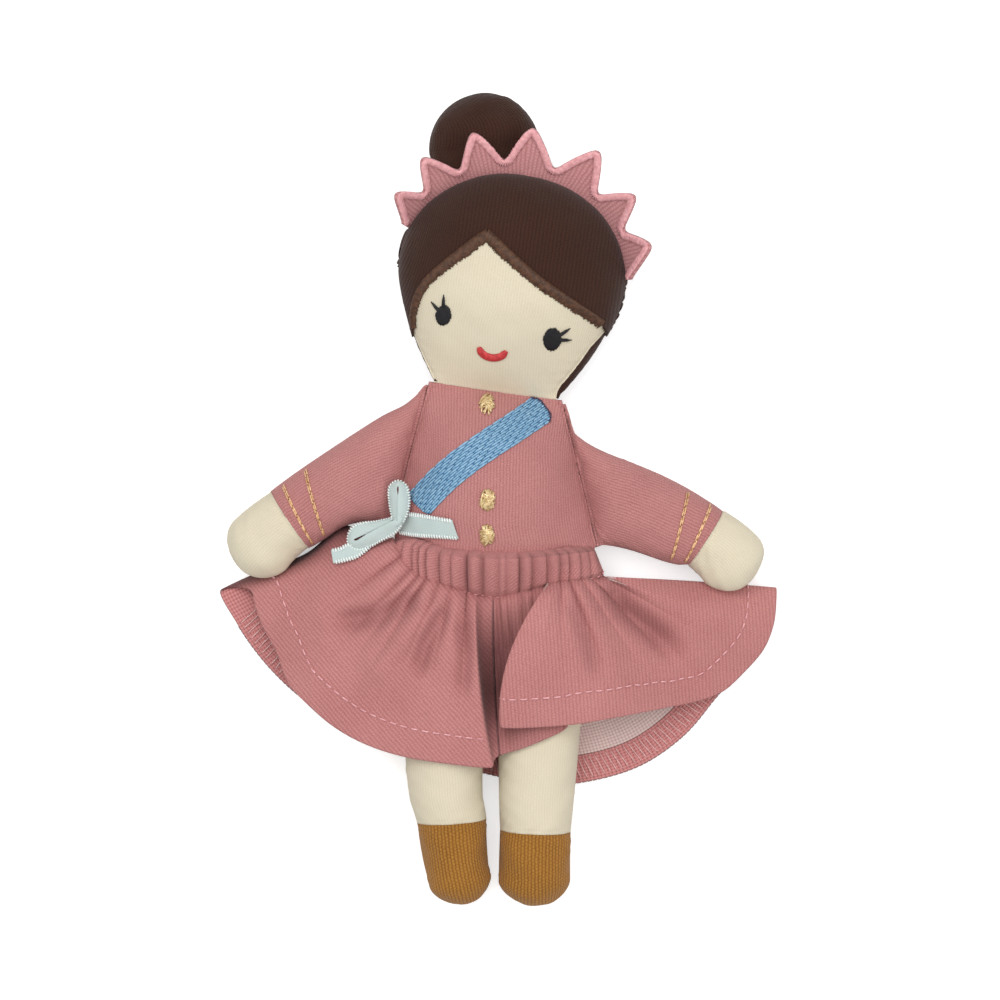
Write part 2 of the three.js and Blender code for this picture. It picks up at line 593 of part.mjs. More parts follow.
const hairLine = points => new THREE.SplineCurve(points.map(point2)).getPoints(10);
const hairLeft = hairLine(HAIR_LEFT);
const hairRight = hairLine(HAIR_RIGHT);
const beyond = HEAD_HALF * 1.5;
const bareFace = [
  ...hairRight,
  ...[[beyond, 0], [beyond, -beyond], [-beyond, -beyond], [-beyond, 0]].map(point2),
  ...hairLeft.slice(1).reverse(),
];
const edgingBlock = width => prism(stripOutline(hairLeft, width), SEAM_Z + EDGE, FAR)
  .add(prism(stripOutline(hairRight, width), SEAM_Z + EDGE, FAR));
const underHair = headForm(FIT);
const hairLayer = headForm(FIT + HAIR_CLOTH).subtract(underHair);
const wholeFace = prism(headOutline(), SEAM_Z + EDGE, FAR);
const hairBlock = wholeFace.subtract(prism(bareFace, 0, FAR));
addPiece(head, 'hair_front',
  hairLayer.intersect(hairBlock).subtract(edgingBlock(HAIR_EDGING + FIT * 2)), finish('hair'));
addPiece(head, 'hair_edging',
  hairLayer.intersect(edgingBlock(HAIR_EDGING)).intersect(wholeFace), finish('hairEdge', 0.6));

// Face: each eye is a filled oval with two lashes, and the mouth a filled smile.
function lash([x, y], angle) {
  const along = new THREE.Vector2(Math.cos(angle), Math.sin(angle));
  const from = new THREE.Vector2(x, y).addScaledVector(along, EYE_SIZE[1] * 0.35);
  const to = from.clone().addScaledVector(along, LASH_LENGTH);
  return prism(stripOutline([from, to], LASH_WIDTH), SEAM_Z + EDGE, FAR);
}

const faceThread = headForm(FIT + THREAD).subtract(underHair);
for (const [name, at, lashes] of [['eye_left', EYE_LEFT, [95, 140]], ['eye_right', EYE_RIGHT, [40, 8]]]) {
  const oval = prism(ellipseOutline(at, EYE_SIZE), SEAM_Z + EDGE, FAR);
  const shape = lashes.reduce((sum, angle) => sum.add(lash(at, THREE.MathUtils.degToRad(angle))), oval);
  addPiece(head, name, faceThread.intersect(shape), finish('thread', 0.5));
}
const [mouthX, mouthY] = MOUTH;
const smileHalf = [MOUTH_WIDTH / 2, LIP_WIDTH * 1.4];
const smile = new THREE.EllipseCurve(mouthX, mouthY + LIP_WIDTH, ...smileHalf, Math.PI, Math.PI * 2);
const lips = prism(stripOutline(smile.getPoints(8), LIP_WIDTH), SEAM_Z + EDGE, FAR);
addPiece(head, 'mouth', faceThread.intersect(lips), finish('lip', 0.5));

// Crown

// Edge height of the crown at an angle: straight flanks up to each point and down to the band.
function crownEdge(angle) {
  const stops = CROWN_TIPS.flatMap((tip, k) => {
    const next = k + 1 < CROWN_TIPS.length ? (tip + CROWN_TIPS[k + 1]) / 2 : CROWN_ENDS[1];
    return [[tip, CROWN_HEIGHT], [next, CROWN_BAND]];
  });
  stops.unshift([CROWN_ENDS[0], CROWN_BAND]);
  const k = Math.max(stops.findIndex(([stop]) => stop >= angle), 1);
  return THREE.MathUtils.mapLinear(angle, stops[k - 1][0], stops[k][0], stops[k - 1][1], stops[k][1]);
}

// A point of the crown at an angle, a height along its cloth and a distance in front of its middle.
function crownPoint(angle, height, out) {
  const turn = THREE.MathUtils.degToRad(angle);
  const [top, end] = CROWN_LEAN;
  const lean = THREE.MathUtils.degToRad(top + (end - top) * (angle / CROWN_ENDS[1]) ** 2);
  const [sin, cos] = [Math.sin(turn), Math.cos(turn)];
  const topRadius = HEAD_LENGTH - HEAD_WIDEST;
  const rim = 1 / Math.hypot(sin / HEAD_HALF, cos / topRadius);
  const reach = rim + FIT + CROWN_THICK * 0.5 + height * Math.cos(lean) - out * Math.sin(lean);
  const z = SEAM_Z + CROWN_LIFT + height * Math.sin(lean) + out * Math.cos(lean);
  return new THREE.Vector3(reach * sin, HEAD_WIDEST + reach * cos, z);
}

// A strip of the crown between two heights, as a closed band of cloth.
function crownStrip(from, to, back, front) {
  const angles = CROWN_TIPS.flatMap((tip, k) => {
    const low = k === 0 ? CROWN_ENDS[0] : (tip + CROWN_TIPS[k - 1]) / 2;
    const high = k + 1 < CROWN_TIPS.length ? (tip + CROWN_TIPS[k + 1]) / 2 : CROWN_ENDS[1];
    return [...evenRows(low, tip, 3).slice(0, -1), ...evenRows(tip, high, 3).slice(0, -1)];
  });
  angles.push(CROWN_ENDS[1]);
  return loft(angles.map(angle => {
    const heights = evenRows(from(angle), to(angle), 2);
    return [
      ...heights.map(height => crownPoint(angle, height, front)),
      ...heights.reverse().map(height => crownPoint(angle, height, back)),
    ];
  }));
}

const halfCrown = CROWN_THICK / 2;
addPiece(head, 'crown', crownStrip(() => 0, crownEdge, -halfCrown, halfCrown), finish('crown'));
const edgingFoot = angle => Math.max(crownEdge(angle) - CROWN_EDGING, 0.1);
addPiece(head, 'crown_edging',
  crownStrip(edgingFoot, crownEdge, halfCrown + FIT, halfCrown + FIT + THREAD), finish('satin', 0.5));

// Bun, in its own frame: its origin is the middle of its seam on the top of the head

const bun = new THREE.Group();
const bunTop = HEAD_WIDEST + (HEAD_LENGTH - HEAD_WIDEST) * Math.sqrt(1 - (BUN_AT / HEAD_HALF) ** 2);
bun.position.set(BUN_AT, bunTop + SEAM_GAP, 0);
bun.rotation.z = BUN_LEAN;
head.add(bun);

const bunLength = BUN_CENTRE + BUN_RADIUS;

function bunSection(y) {
  const circle = Math.sqrt(Math.max(BUN_RADIUS ** 2 - (y - BUN_CENTRE) ** 2, 0));
  const half = circle * THREE.MathUtils.lerp(BUN_PINCH, 1, swell(y, BUN_CENTRE));
  const full = swell(y, BUN_RISE) * (y > BUN_CENTRE ? circle / BUN_RADIUS : 1);
  const sink = THREE.MathUtils.smoothstep(y, 0, BUN_DROOP);
  return {
    a: new THREE.Vector2(-half, y),
    b: new THREE.Vector2(half, y),
    mid: THREE.MathUtils.lerp(SEAM_Z, BUN_Z, sink),
    front: BUN_DEPTH * full,
    back: BUN_DEPTH * full,
  };
}

const bunRows = (first, last) => [
  ...evenRows(first, BUN_CENTRE, 3).slice(0, -1),
  ...roundRows(BUN_CENTRE, bunLength, 6, last),
];
const bunForm = paddedForm(bunSection, bunRows(SEAM_GAP / 2, 1.48));
const bunInside = offset => innerForm(bunSection, bunRows(FILL_START, 1.3), offset);
const [mouthWide, mouthLong, mouthHigh] = BUN_MOUTH;
const bunMouth = box(
  [-mouthWide / 2, -1, SEAM_Z - mouthHigh / 2],
  [mouthWide / 2, mouthLong - 1, SEAM_Z + mouthHigh / 2],
);
addPiece(bun, 'bun_cover', bunForm.subtract(bunInside(-CLOTH)).subtract(bunMouth), finish('hair'));
addPiece(bun, 'bun_stuffing', bunInside(-CLOTH - FIT), finish('stuffing', 1));

// Limbs

// A limb runs from its whole seam to a cuff that lies square across it and on to a round end.
function limb({ seam, end, depth, rise, heights }) {
  const [seamA, seamB] = seam;
  const root = seamA.clone().add(seamB).multiplyScalar(0.5);
  const cuff = point2(end.at);
  const tip = point2(end.tip);
  const line = new THREE.SplineCurve([root, cuff, tip]);
  const upper = root.distanceTo(cuff);
  const lower = cuff.distanceTo(tip);
  const halfSeam = seamB.clone().sub(seamA).multiplyScalar(0.5);
  const square = t => {
    const along = line.getTangent(t / 2);
    const across = new THREE.Vector2(-along.y, along.x);
    return across.multiplyScalar(Math.sign(across.dot(halfSeam)));
  };
  const atCuff = square(1).multiplyScalar(end.half);
  // t is 0 at the seam, 1 at the cuff and 2 at the tip.
  const section = t => {
    const centre = line.getPoint(t / 2);
    const fromTip = (2 - t) * lower;
    const closing = roundOff(fromTip, end.hand);
    const beyond = THREE.MathUtils.lerp(end.wrist, end.hand, Math.min((t - 1) * 2, 1)) * closing;
    const half = t <= 1 ? halfSeam.clone().lerp(atCuff, t) : square(t).multiplyScalar(beyond);
    const full = depth * swell(t * upper, rise) * (t > 1 ? closing * PAST_CUFF : 1);
    const [zSeam, zCuff, zTip] = heights;
    return {
      a: centre.clone().sub(half),
      b: centre.clone().add(half),
      mid: t <= 1 ? THREE.MathUtils.lerp(zSeam, zCuff, t) : THREE.MathUtils.lerp(zCuff, zTip, t - 1),
      front: full,
      back: full,
    };
  };
  const innerRows = [...evenRows(0.14, 0.9, 4), ...roundRows(1, 2, 5, 1.36)];
  const inside = offset => innerForm(section, innerRows, offset);
  return { section, inside, upper, lower };
}

function addLimb({ names, colours, braids = [], ...shape }) {
  const group = new THREE.Group();
  doll.add(group);
  const { section, inside, upper, lower } = limb(shape);
  const hollow = inside(-CLOTH);
  const upperForm = paddedForm(section, evenRows(0, 1, 7));
  const lowerForm = paddedForm(section, roundRows(1 + FIT / lower, 2, 6, 1.48));
  addPiece(group, names[0], upperForm.subtract(hollow), finish(colours[0]));
  addPiece(group, names[1], lowerForm.subtract(hollow).subtract(FLOOR), finish(colours[1]));
  addPiece(group, names[2], inside(-CLOTH - FIT), finish('stuffing', 1));
  for (const [name, distance] of braids) {
    const from = 1 - (distance + BRAID_WIDTH) / upper;
    const rows = [from, from + BRAID_WIDTH / upper];
    const under = paddedForm(section, evenRows(0.5, 1, 4), FIT);
    const braid = paddedForm(section, rows, FIT + THREAD).subtract(under);
    const front = box([-FAR, -FAR, SEAM_Z + EDGE], [FAR, FAR, FAR]);
    addPiece(group, name, braid.intersect(front), finish('gold', 0.4, 0.4));
  }
}

// A seam line moved off the torso by half of the seam's gap.
function movedSeam(from, to, towards) {
  const across = new THREE.Vector2(-(to.y - from.y), to.x - from.x).normalize();
  const shift = across.multiplyScalar(Math.sign(across.dot(towards)) * SEAM_GAP / 2);
  return [from.clone().add(shift), to.clone().add(shift)];
}

const ARMS = {
  left: { top: SHOULDER_LEFT, low: ARMPIT_LEFT, out: new THREE.Vector2(-1, 0), end: CUFF_LEFT },
  right: { top: SHOULDER_RIGHT, low: ARMPIT_RIGHT, out: new THREE.Vector2(1, 0), end: CUFF_RIGHT },
};
for (const [side, { top, low, out, end }] of Object.entries(ARMS)) {
  addLimb({
    names: [`sleeve_${side}`, `hand_${side}`, `arm_stuffing_${side}`],
    colours: ['rose', 'cream'],
    braids: BRAID_FROM_CUFF.map((distance, k) => [`cuff_braid_${side}_${k + 1}`, distance]),
    seam: movedSeam(top.clone().lerp(low, 0.03), low, out),
    end,
    depth: ARM_DEPTH,
    rise: ARM_RISE,
    heights: ARM_Z,
  });
}

const LEGS = {
  left: { outer: -HIP_HALF, inner: -LEG_GAP / 2, end: ANKLE_LEFT },
  right: { outer: HIP_HALF, inner: LEG_GAP / 2, end: ANKLE_RIGHT },
};
for (const [side, { outer, inner, end }] of Object.entries(LEGS)) {
  const hip = [outer, inner].map(x => point2([x, HIP_Y - SEAM_GAP / 2]));
  addLimb({
    names: [`leg_${side}`, `shoe_${side}`, `leg_stuffing_${side}`],
    colours: ['cream', 'shoe'],
    seam: hip,
    end,
    depth: LEG_DEPTH,
    rise: LEG_RISE,
    heights: LEG_Z,
  });
}

export default doll;
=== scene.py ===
import bpy
import numpy as np
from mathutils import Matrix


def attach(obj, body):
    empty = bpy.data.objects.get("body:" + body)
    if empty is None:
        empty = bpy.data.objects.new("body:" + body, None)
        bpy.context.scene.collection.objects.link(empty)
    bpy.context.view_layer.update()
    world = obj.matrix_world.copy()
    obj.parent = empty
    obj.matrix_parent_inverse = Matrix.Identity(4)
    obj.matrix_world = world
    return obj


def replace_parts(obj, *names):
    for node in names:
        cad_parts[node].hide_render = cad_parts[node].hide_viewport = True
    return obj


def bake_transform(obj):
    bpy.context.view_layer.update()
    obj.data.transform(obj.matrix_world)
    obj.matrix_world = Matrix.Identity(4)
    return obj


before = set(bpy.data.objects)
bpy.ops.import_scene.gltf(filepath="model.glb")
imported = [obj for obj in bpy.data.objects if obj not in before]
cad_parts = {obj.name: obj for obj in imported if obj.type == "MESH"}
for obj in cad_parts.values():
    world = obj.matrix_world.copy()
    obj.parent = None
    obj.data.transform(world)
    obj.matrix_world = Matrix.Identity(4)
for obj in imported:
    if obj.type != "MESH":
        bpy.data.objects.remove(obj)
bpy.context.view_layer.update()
MM = 0.001

# The view: a camera straight above the doll, with the top of its head towards the top of the picture.
# One pixel is a fifth of a millimetre at the middle of the doll's thickness.
VIEW_MIDDLE = (1.0, -4.0, 10.0)
VIEW_DISTANCE = 500.0
lens = bpy.data.cameras.new("view")
lens.sensor_width = 36.0
lens.lens = VIEW_DISTANCE * 36.0 / 200.0
lens.clip_start = 0.01
lens.clip_end = 10.0
view = bpy.data.objects.new("view", lens)
bpy.context.scene.collection.objects.link(view)
view.location = (VIEW_MIDDLE[0] * MM, VIEW_MIDDLE[1] * MM, (VIEW_MIDDLE[2] + VIEW_DISTANCE) * MM)
bpy.context.scene.camera = view
bpy.context.scene.view_settings.view_transform = "Standard"


# The table and the light: a white table top under a wide soft lamp from the doll's upper left,
# in a pale room that fills the shadows.
class Shade:
    """One socket of a material. Arithmetic on it adds Math nodes, and add() makes any other node."""

    def __init__(self, tree, socket=None):
        self.tree = tree
        self.socket = socket

    def add(self, kind, settings=None, sockets=None, out=0):
        """Makes a node: its settings come first, then its sockets' values or links."""
        made = self.tree.nodes.new("ShaderNode" + kind)
        for key, value in (settings or {}).items():
            setattr(made, key, value)
        for key, value in (sockets or {}).items():
            if isinstance(value, Shade):
                self.tree.links.new(value.socket, made.inputs[key])
            else:
                made.inputs[key].default_value = value
        return Shade(self.tree, made.outputs[out] if made.outputs else None)

    def math(self, operation, *others):
        return self.add("Math", {"operation": operation}, dict(enumerate([self, *others])))

    def __add__(self, other):
        return self.math("ADD", other)

    def __sub__(self, other):
        return self.math("SUBTRACT", other)

    def __rsub__(self, other):
        return self.add("Math", {"operation": "SUBTRACT"}, {0: other, 1: self})

    def __mul__(self, other):
        return self.math("MULTIPLY", other)

    def __truediv__(self, other):
        return self.math("DIVIDE", other)

    __radd__ = __add__

    def sine(self):
        return self.math("SINE")

    def clamped(self, low=0.0, high=1.0):
        """This value as a share of the way from low to high, kept between 0 and 1."""
        sockets = {"Value": self, "From Min": low, "From Max": high, "To Min": 0.0, "To Max": 1.0}
        return self.add("MapRange", {"clamp": True}, sockets)

    def between(self, first, second):
        """The colour mixed from first to second by this value."""
        ends = {6: first, 7: second}
        ends = {key: value if isinstance(value, Shade) else (*value, 1.0) for key, value in ends.items()}
        return self.add("Mix", {"data_type": "RGBA"}, {0: self, **ends}, out=2)


def linear(red, green, blue):
    """A screen colour of 0 to 255 as the linear colour that a lamp meets: the power 2.2 of each share."""
    return tuple((np.array([red, green, blue]) / 255.0) ** 2.2)


def empty_material(name):
    """A material without nodes, and the base on which to add them."""
    material = bpy.data.materials.new(name)
    material.use_nodes = True
    material.node_tree.nodes.clear()
    return material, Shade(material.node_tree)


TABLE_SIZE = 900.0
TABLE_WHITE = 0.86
TABLE_GLOW = 0.5
room = bpy.data.worlds.new("room")
bpy.context.scene.world = room
room.use_nodes = True
air = Shade(room.node_tree)
room.node_tree.nodes.clear()
camera_ray, glossy_ray, clear_ray = (air.add("LightPath", out=f"Is {kind} Ray")
                                     for kind in ("Camera", "Glossy", "Transmission"))
seen = camera_ray.math("MAXIMUM", glossy_ray).math("MAXIMUM", clear_ray)
backdrop = air.add("Background", sockets={"Color": (1.0, 1.0, 1.0, 1.0), "Strength": seen * 0.5 + 0.5})
air.add("OutputWorld", sockets={"Surface": backdrop})

table_points = np.array([[-1, -1, 0], [1, -1, 0], [1, 1, 0], [-1, 1, 0]]) * TABLE_SIZE / 2 * MM
table_mesh = bpy.data.meshes.new("table")
table_mesh.from_pydata(table_points.tolist(), [], [(0, 1, 2, 3)])
table = bpy.data.objects.new("table", table_mesh)
bpy.context.scene.collection.objects.link(table)
table_top, top = empty_material("table_top")
matt = top.add("BsdfDiffuse", sockets={"Color": (TABLE_WHITE, TABLE_WHITE, TABLE_WHITE, 1.0)})
glow = top.add("Emission", sockets={
    "Color": (1.0, 1.0, 1.0, 1.0), "Strength": top.add("LightPath", out="Is Camera Ray") * TABLE_GLOW})
top.add("OutputMaterial", sockets={"Surface": top.add("AddShader", sockets={0: matt, 1: glow})})
table_mesh.materials.append(table_top)

for name, place, size, watts in (
    ("lamp_main", (-110.0, 170.0, 600.0), 460.0, 2.2),
    ("lamp_side", (260.0, -120.0, 520.0), 420.0, 0.9),
):
    lamp = bpy.data.lights.new(name, "AREA")
    lamp.shape = "DISK"
    lamp.size = size * MM
    lamp.energy = watts
    holder = bpy.data.objects.new(name, lamp)
    bpy.context.scene.collection.objects.link(holder)
    holder.location = tuple(value * MM for value in place)
    holder.rotation_euler = holder.location.to_track_quat("Z", "Y").to_euler()


# The body of the doll is sewn from two cloths and stuffed: the jacket is fine rose twill, front and back,
# and the lower body under the skirt is plain cream jersey. The side seams lie in one plane.
SEAM_Z = 9.5
EDGE = 0.15
LENS_POWER = 2.2
ROUND = 0.58
SEAM_GAP = 0.4
CLOTH = 0.25
TABLE_GAP = 0.02
CHEST = 10.4
BACK = 9.85
NECK = np.array([0.1, 17.9])
HEAD_TILT = np.radians(8.0)
NECK_HALF = 13.6
HIP_Y = -26.4
WAIST_Y = -13.6
HEAD_TURN = np.array([[np.cos(HEAD_TILT), -np.sin(HEAD_TILT)], [np.sin(HEAD_TILT), np.cos(HEAD_TILT)]])
SHOULDERS = np.array([[-NECK_HALF, 0], [NECK_HALF, 0]]) @ HEAD_TURN + NECK
ARMPITS = np.array([[-20.6, -8.0], [20.6, -13.2]])
LEFT_EDGE = np.array([SHOULDERS[0], ARMPITS[0], [-20.2, WAIST_Y], [-19.4, HIP_Y]])
RIGHT_EDGE = np.array([SHOULDERS[1], ARMPITS[1], [20.2, WAIST_Y], [19.4, HIP_Y]])


def unit(vectors):
    """The vectors at unit length."""
    return vectors / np.maximum(np.linalg.norm(vectors, axis=-1, keepdims=True), 1e-9)


def dome(share):
    """Height of a stuffed form at a share of its half width: 1 - |share|^2.2, never under 0."""
    return np.clip(1 - np.abs(share) ** LENS_POWER, 0, 1)


def smooth_step(share):
    """A share of 0 to 1, eased at both ends."""
    return share**2 * (3 - 2 * share)


def swell(distance, length):
    """Swell of a stuffed form at a distance from its seam: 1 - (1 - share)^2, full at the given length."""
    return 1.0 - (1.0 - np.clip(distance / length, 0.0, 1.0)) ** 2


def torso_section(t):
    """Rows of the torso from the slanted neck seam (t = 0) to the hip seam (t = 1): both ends, and swell."""
    ends = []
    for edge, side in ((LEFT_EDGE, 1.0), (RIGHT_EDGE, -1.0)):
        y = edge[0, 1] - SEAM_GAP / 2 + (HIP_Y + SEAM_GAP - edge[0, 1]) * t
        x = np.interp(-y, -edge[:, 1], edge[:, 0]) + side * SEAM_GAP * 0.55
        ends.append(np.stack([x, y], -1))
    y = (ends[0][..., 1] + ends[1][..., 1]) / 2
    full = np.where(y > 0, swell(NECK[1] - SEAM_GAP / 2 - y, NECK[1]),
                    swell(y - HIP_Y - SEAM_GAP / 2, -HIP_Y))
    return {"a": ends[0], "b": ends[1], "mid": SEAM_Z + 0 * y, "front": CHEST * full, "back": BACK * full,
            "round": 1.0}


def ring_points(part, phi, offset=0.0):
    """Points of a padded form, a row for each section and a column for each angle. The angle runs from the
    side seam a (0) over the front to the seam b (pi) and on round the back: the place across is -cos(phi),
    and the height over the seam is the depth times (1 - |cos(phi)|^2.2)^round. Offset lies outside it."""
    phi = np.broadcast_to(phi, (len(part["mid"]), np.shape(phi)[-1]))
    across = -np.cos(phi)
    fullness = dome(across) ** part["round"]
    share = ((across + 1) / 2)[..., None]
    spread = unit(part["b"] - part["a"])
    plan = part["a"][:, None] * (1 - share) + part["b"][:, None] * share
    plan = plan + spread[:, None] * (across * offset)[..., None]
    depth = np.where(np.sin(phi) >= 0, part["front"][:, None], part["back"][:, None])
    edge = EDGE * (1 - np.exp(-fullness / 0.03)) + offset
    z = part["mid"][:, None] + np.sign(np.sin(phi) + 1e-9) * (depth * fullness + edge)
    return np.concatenate([plan, z[..., None]], -1)


def grid_normals(points):
    """Unit normals of a grid of points: the cross product of its slopes down the rows and along a row."""
    return unit(np.cross(np.gradient(points, axis=0), np.gradient(points, axis=1)))


def wander(points, size, seed):
    """A smooth unevenness between about -1 and 1: the mean of seven sine waves that run in random directions,
    with wavelengths round the given size."""
    chance = np.random.default_rng(seed)
    ways = chance.normal(size=(7, points.shape[-1]))
    ways *= (2 * np.pi / size / chance.uniform(0.7, 1.5, 7) / np.linalg.norm(ways, axis=1))[:, None]
    return np.sin(points @ ways.T + chance.uniform(0, 2 * np.pi, 7)).sum(-1) / 3.5


def path_length(points, axis):
    """Distance run along a grid of points in one direction, starting at 0."""
    steps = np.linalg.norm(np.diff(points, axis=axis), axis=-1)
    first = np.zeros_like(np.take(steps, [0], axis=axis))
    return np.cumsum(np.concatenate([first, steps], axis), axis=axis)


def both_lengths(grid):
    """Distances run along the rows of a grid and down its columns."""
    return path_length(grid, 1), path_length(grid, 0)


def at_places(places, run, values):
    """Rows of values at places along a run."""
    return np.stack([np.interp(places, run, column) for column in values.T], -1)


def grid_faces(rows, columns, around=False):
    """Four-sided faces of a grid of points, row after row. around joins the last column to the first."""
    first = np.arange(rows * columns).reshape(rows, columns)
    beside = np.roll(first, -1, 1)
    faces = np.stack([first[:-1], first[1:], beside[1:], beside[:-1]], -1)
    return (faces if around else faces[:, :-1]).reshape(-1, 4)


def new_piece(name, points, faces, body, material, slot, weave=None, marks=None):
    """A mesh piece on a body, from points in millimetres and faces of four corners. Points at one place are
    made one, which closes poles and joins, and a corner that falls away leaves a triangle. weave says how far
    each point lies across and along the yarns, and goes into the UV map of that name. marks are values at
    the points, which go into attributes."""
    flat = np.asarray(points, float).reshape(-1, 3)
    _, first, where = np.unique(np.round(flat / 0.003), axis=0, return_index=True, return_inverse=True)
    corners = where.reshape(-1)[faces]
    kept = corners != np.roll(corners, 1, 1)
    whole = kept.sum(1) > 2
    corners, kept, sources = corners[whole], kept[whole], np.asarray(faces)[whole]
    counts = kept.sum(1)
    mesh = bpy.data.meshes.new(name)
    mesh.vertices.add(len(first))
    mesh.vertices.foreach_set("co", (flat[first] * MM).astype(np.float32).ravel())
    mesh.loops.add(int(counts.sum()))
    mesh.loops.foreach_set("vertex_index", corners[kept].astype(np.int32))
    mesh.polygons.add(len(counts))
    mesh.polygons.foreach_set("loop_start", np.concatenate([[0], np.cumsum(counts)[:-1]]).astype(np.int32))
    mesh.update(calc_edges=True)
    if weave is not None:
        layer = mesh.uv_layers.new(name="weave")
        layer.uv.foreach_set("vector", np.asarray(weave, np.float32).reshape(-1, 2)[sources[kept]].ravel())
    for key, values in (marks or {}).items():
        mark = mesh.attributes.new(key, "FLOAT", "POINT")
        mark.data.foreach_set("value", np.asarray(values, np.float32).reshape(-1)[first])
    mesh.shade_smooth()
    made = bpy.data.objects.new(name, mesh)
    bpy.context.scene.collection.objects.link(made)
    mesh.materials.append(material)
    if body:
        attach(made, body)
    return made


def thick(piece, thickness=CLOTH, inner_material=None):
    """Gives a sheet of cloth its thickness, behind its outer face."""
    wall = piece.modifiers.new("cloth", "SOLIDIFY")
    wall.thickness = thickness * MM
    wall.offset = -1.0
    if inner_material:
        piece.data.materials.append(inner_material)
        wall.material_offset = 1
    return piece


def cloth(name, light, dark, pitch, depth, step=0.55, fuzz=0.55, contrast=0.42, sheen=0.1):
    """A twill or knit with fine ribs. Across the yarns the height is |sin(pi place / pitch)|, broken along
    them every step by each crossing thread. The valleys are darker, and loose fibres make both uneven. Where
    its attribute of painted shade rises to 1, the colour darkens towards a third of the dark tone: painted
    shade, as deep in a pleat."""
    material, base = empty_material(name)
    place = base.add("UVMap", {"uv_map": "weave"})
    across = base.add("SeparateXYZ", sockets={0: place}, out=0)
    along = base.add("SeparateXYZ", sockets={0: place}, out=1)
    spot = base.add("TexCoord", out="Object")
    soft, fibre, wide = (base.add("TexNoise", {"noise_dimensions": "3D"},
                                  {"Vector": spot, "Scale": scale, "Detail": 2.0})
                         for scale in (700.0, 4200.0, 90.0))
    shifted = across + (soft - 0.5) * (pitch * 0.55)
    rib = (shifted * (np.pi / pitch)).sine().math("ABSOLUTE")
    half_turn = (shifted / pitch).math("FLOOR") * np.pi
    knot = (along * (2 * np.pi / step) + half_turn + (soft - 0.5) * 5.0).sine() * 0.5 + 0.5
    height = rib * (0.55 + knot * 0.45) + (fibre - 0.5) * fuzz
    tone = ((height - 0.5) * contrast + 0.55 + (wide - 0.5) * 0.30 + (fibre - 0.5) * fuzz).clamped()
    bump = base.add("Bump", sockets={"Strength": 1.0, "Distance": depth * MM, "Height": height})
    # Painted shade: an attribute from 0 to 1 darkens the colour in pleats, grooves and gaps.
    painted_shade = base.add("Attribute", {"attribute_name": "painted_shade"}, out="Fac")
    colour = painted_shade.between(tone.between(dark, light), tuple(value * 0.3 for value in dark))
    skin = base.add("BsdfPrincipled", sockets={
        "Base Color": colour, "Roughness": 0.85, "Normal": bump, "Sheen Weight": sheen,
        "Sheen Roughness": 0.5, "Specular IOR Level": 0.2})
    base.add("OutputMaterial", sockets={"Surface": skin})
    return material


def pressed(points, distances, run, seed, groove=0.35, pucker=0.05, uneven=0.16):
    """A grid of cloth pressed in along its seams, where distances are the distances from each of them and run
    is the distance along: a groove just beside the seam, small puckers that fade over 2 mm, and an uneven
    filling."""
    press = uneven * wander(points, 9.0, seed) + uneven * 0.45 * wander(points, 4.0, seed + 1)
    for number, distance in enumerate(distances):
        wave = np.sin(run * 2 * np.pi / 2.3 + 2.2 * wander(points, 12.0, seed + 2 + number))
        at_seam = np.exp(-((distance / 0.6) ** 2)) * (1 - np.exp(-((distance / 0.3) ** 2)))
        press = press - groove * 1.5 * at_seam + pucker * wave * np.exp(-distance / 2.0)
    move = grid_normals(points) * press[..., None]
    if distances:
        move[..., :2] *= 1 - np.exp(-((np.minimum.reduce(distances) / 0.8) ** 2))[..., None]
    return points + move


def with_allowance(grid, reach=0.9):
    """A form whose first row is a sewn seam, with a seam allowance: one more row that lies flat in the seam
    and reaches under the neighbour."""
    way = (grid[0] - grid[1]).mean(0) * (1, 1, 0)
    chord = (grid[0, np.argmax(grid[0, :, 0])] - grid[0, np.argmin(grid[0, :, 0])]) * (1, 1, 0)
    way = way - chord * (way @ chord) / (chord @ chord)
    way = way / np.linalg.norm(way)
    inner = grid[0] + way * reach
    inner[:, 2] = grid[0, :, 2].mean() - 0.4
    return np.concatenate([inner[None], grid])


ROSE = linear(204, 144, 140)
ROSE_DARK = linear(142, 84, 84)
CREAM = linear(224, 215, 193)
CREAM_DARK = linear(202, 190, 163)
jacket_cloth = cloth("jacket_twill", ROSE, ROSE_DARK, 0.64, 0.07)
cream_cloth = cloth("cream_jersey", CREAM, CREAM_DARK, 0.56, 0.04, fuzz=0.4, contrast=0.4)

COLUMNS = 96
neck_y = SHOULDERS[:, 1].mean()
waist_t = (neck_y - WAIST_Y + 3.0) / (neck_y - HIP_Y)
torso_grids = {}
for name, first_t, last_t, first, last, material, slot, nodes in (
    ("jacket_front", 0.0, waist_t, 0.0, np.pi, jacket_cloth, "rose_cloth",
     ("jacket_front", "torso_stuffing")),
    ("jacket_back", 0.0, waist_t, np.pi, 2 * np.pi, jacket_cloth, "rose_cloth", ("jacket_back",)),
    ("lower_body", waist_t + 0.008, 1.0, 0.0, 2 * np.pi, cream_cloth, "cream_cloth", ("lower_body",)),
):
    jacket = material is jacket_cloth
    grid = ring_points(torso_section(np.linspace(first_t, last_t, 120 if jacket else 34)),
                       np.linspace(first, last, COLUMNS if jacket else 2 * COLUMNS))
    across, along = both_lengths(grid)
    grid = pressed(grid, [along, across, across[:, -1:] - across] if jacket else [], along + across, 11)
    grid[..., 2] = np.maximum(grid[..., 2], TABLE_GAP)
    torso_grids[name] = grid
    weave = np.stack([across - across[:, -1:] / 2, along], -1)
    piece = new_piece(name, grid, grid_faces(*grid.shape[:2]), "torso", material, slot, weave)
    thick(piece)
    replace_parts(piece, *nodes)


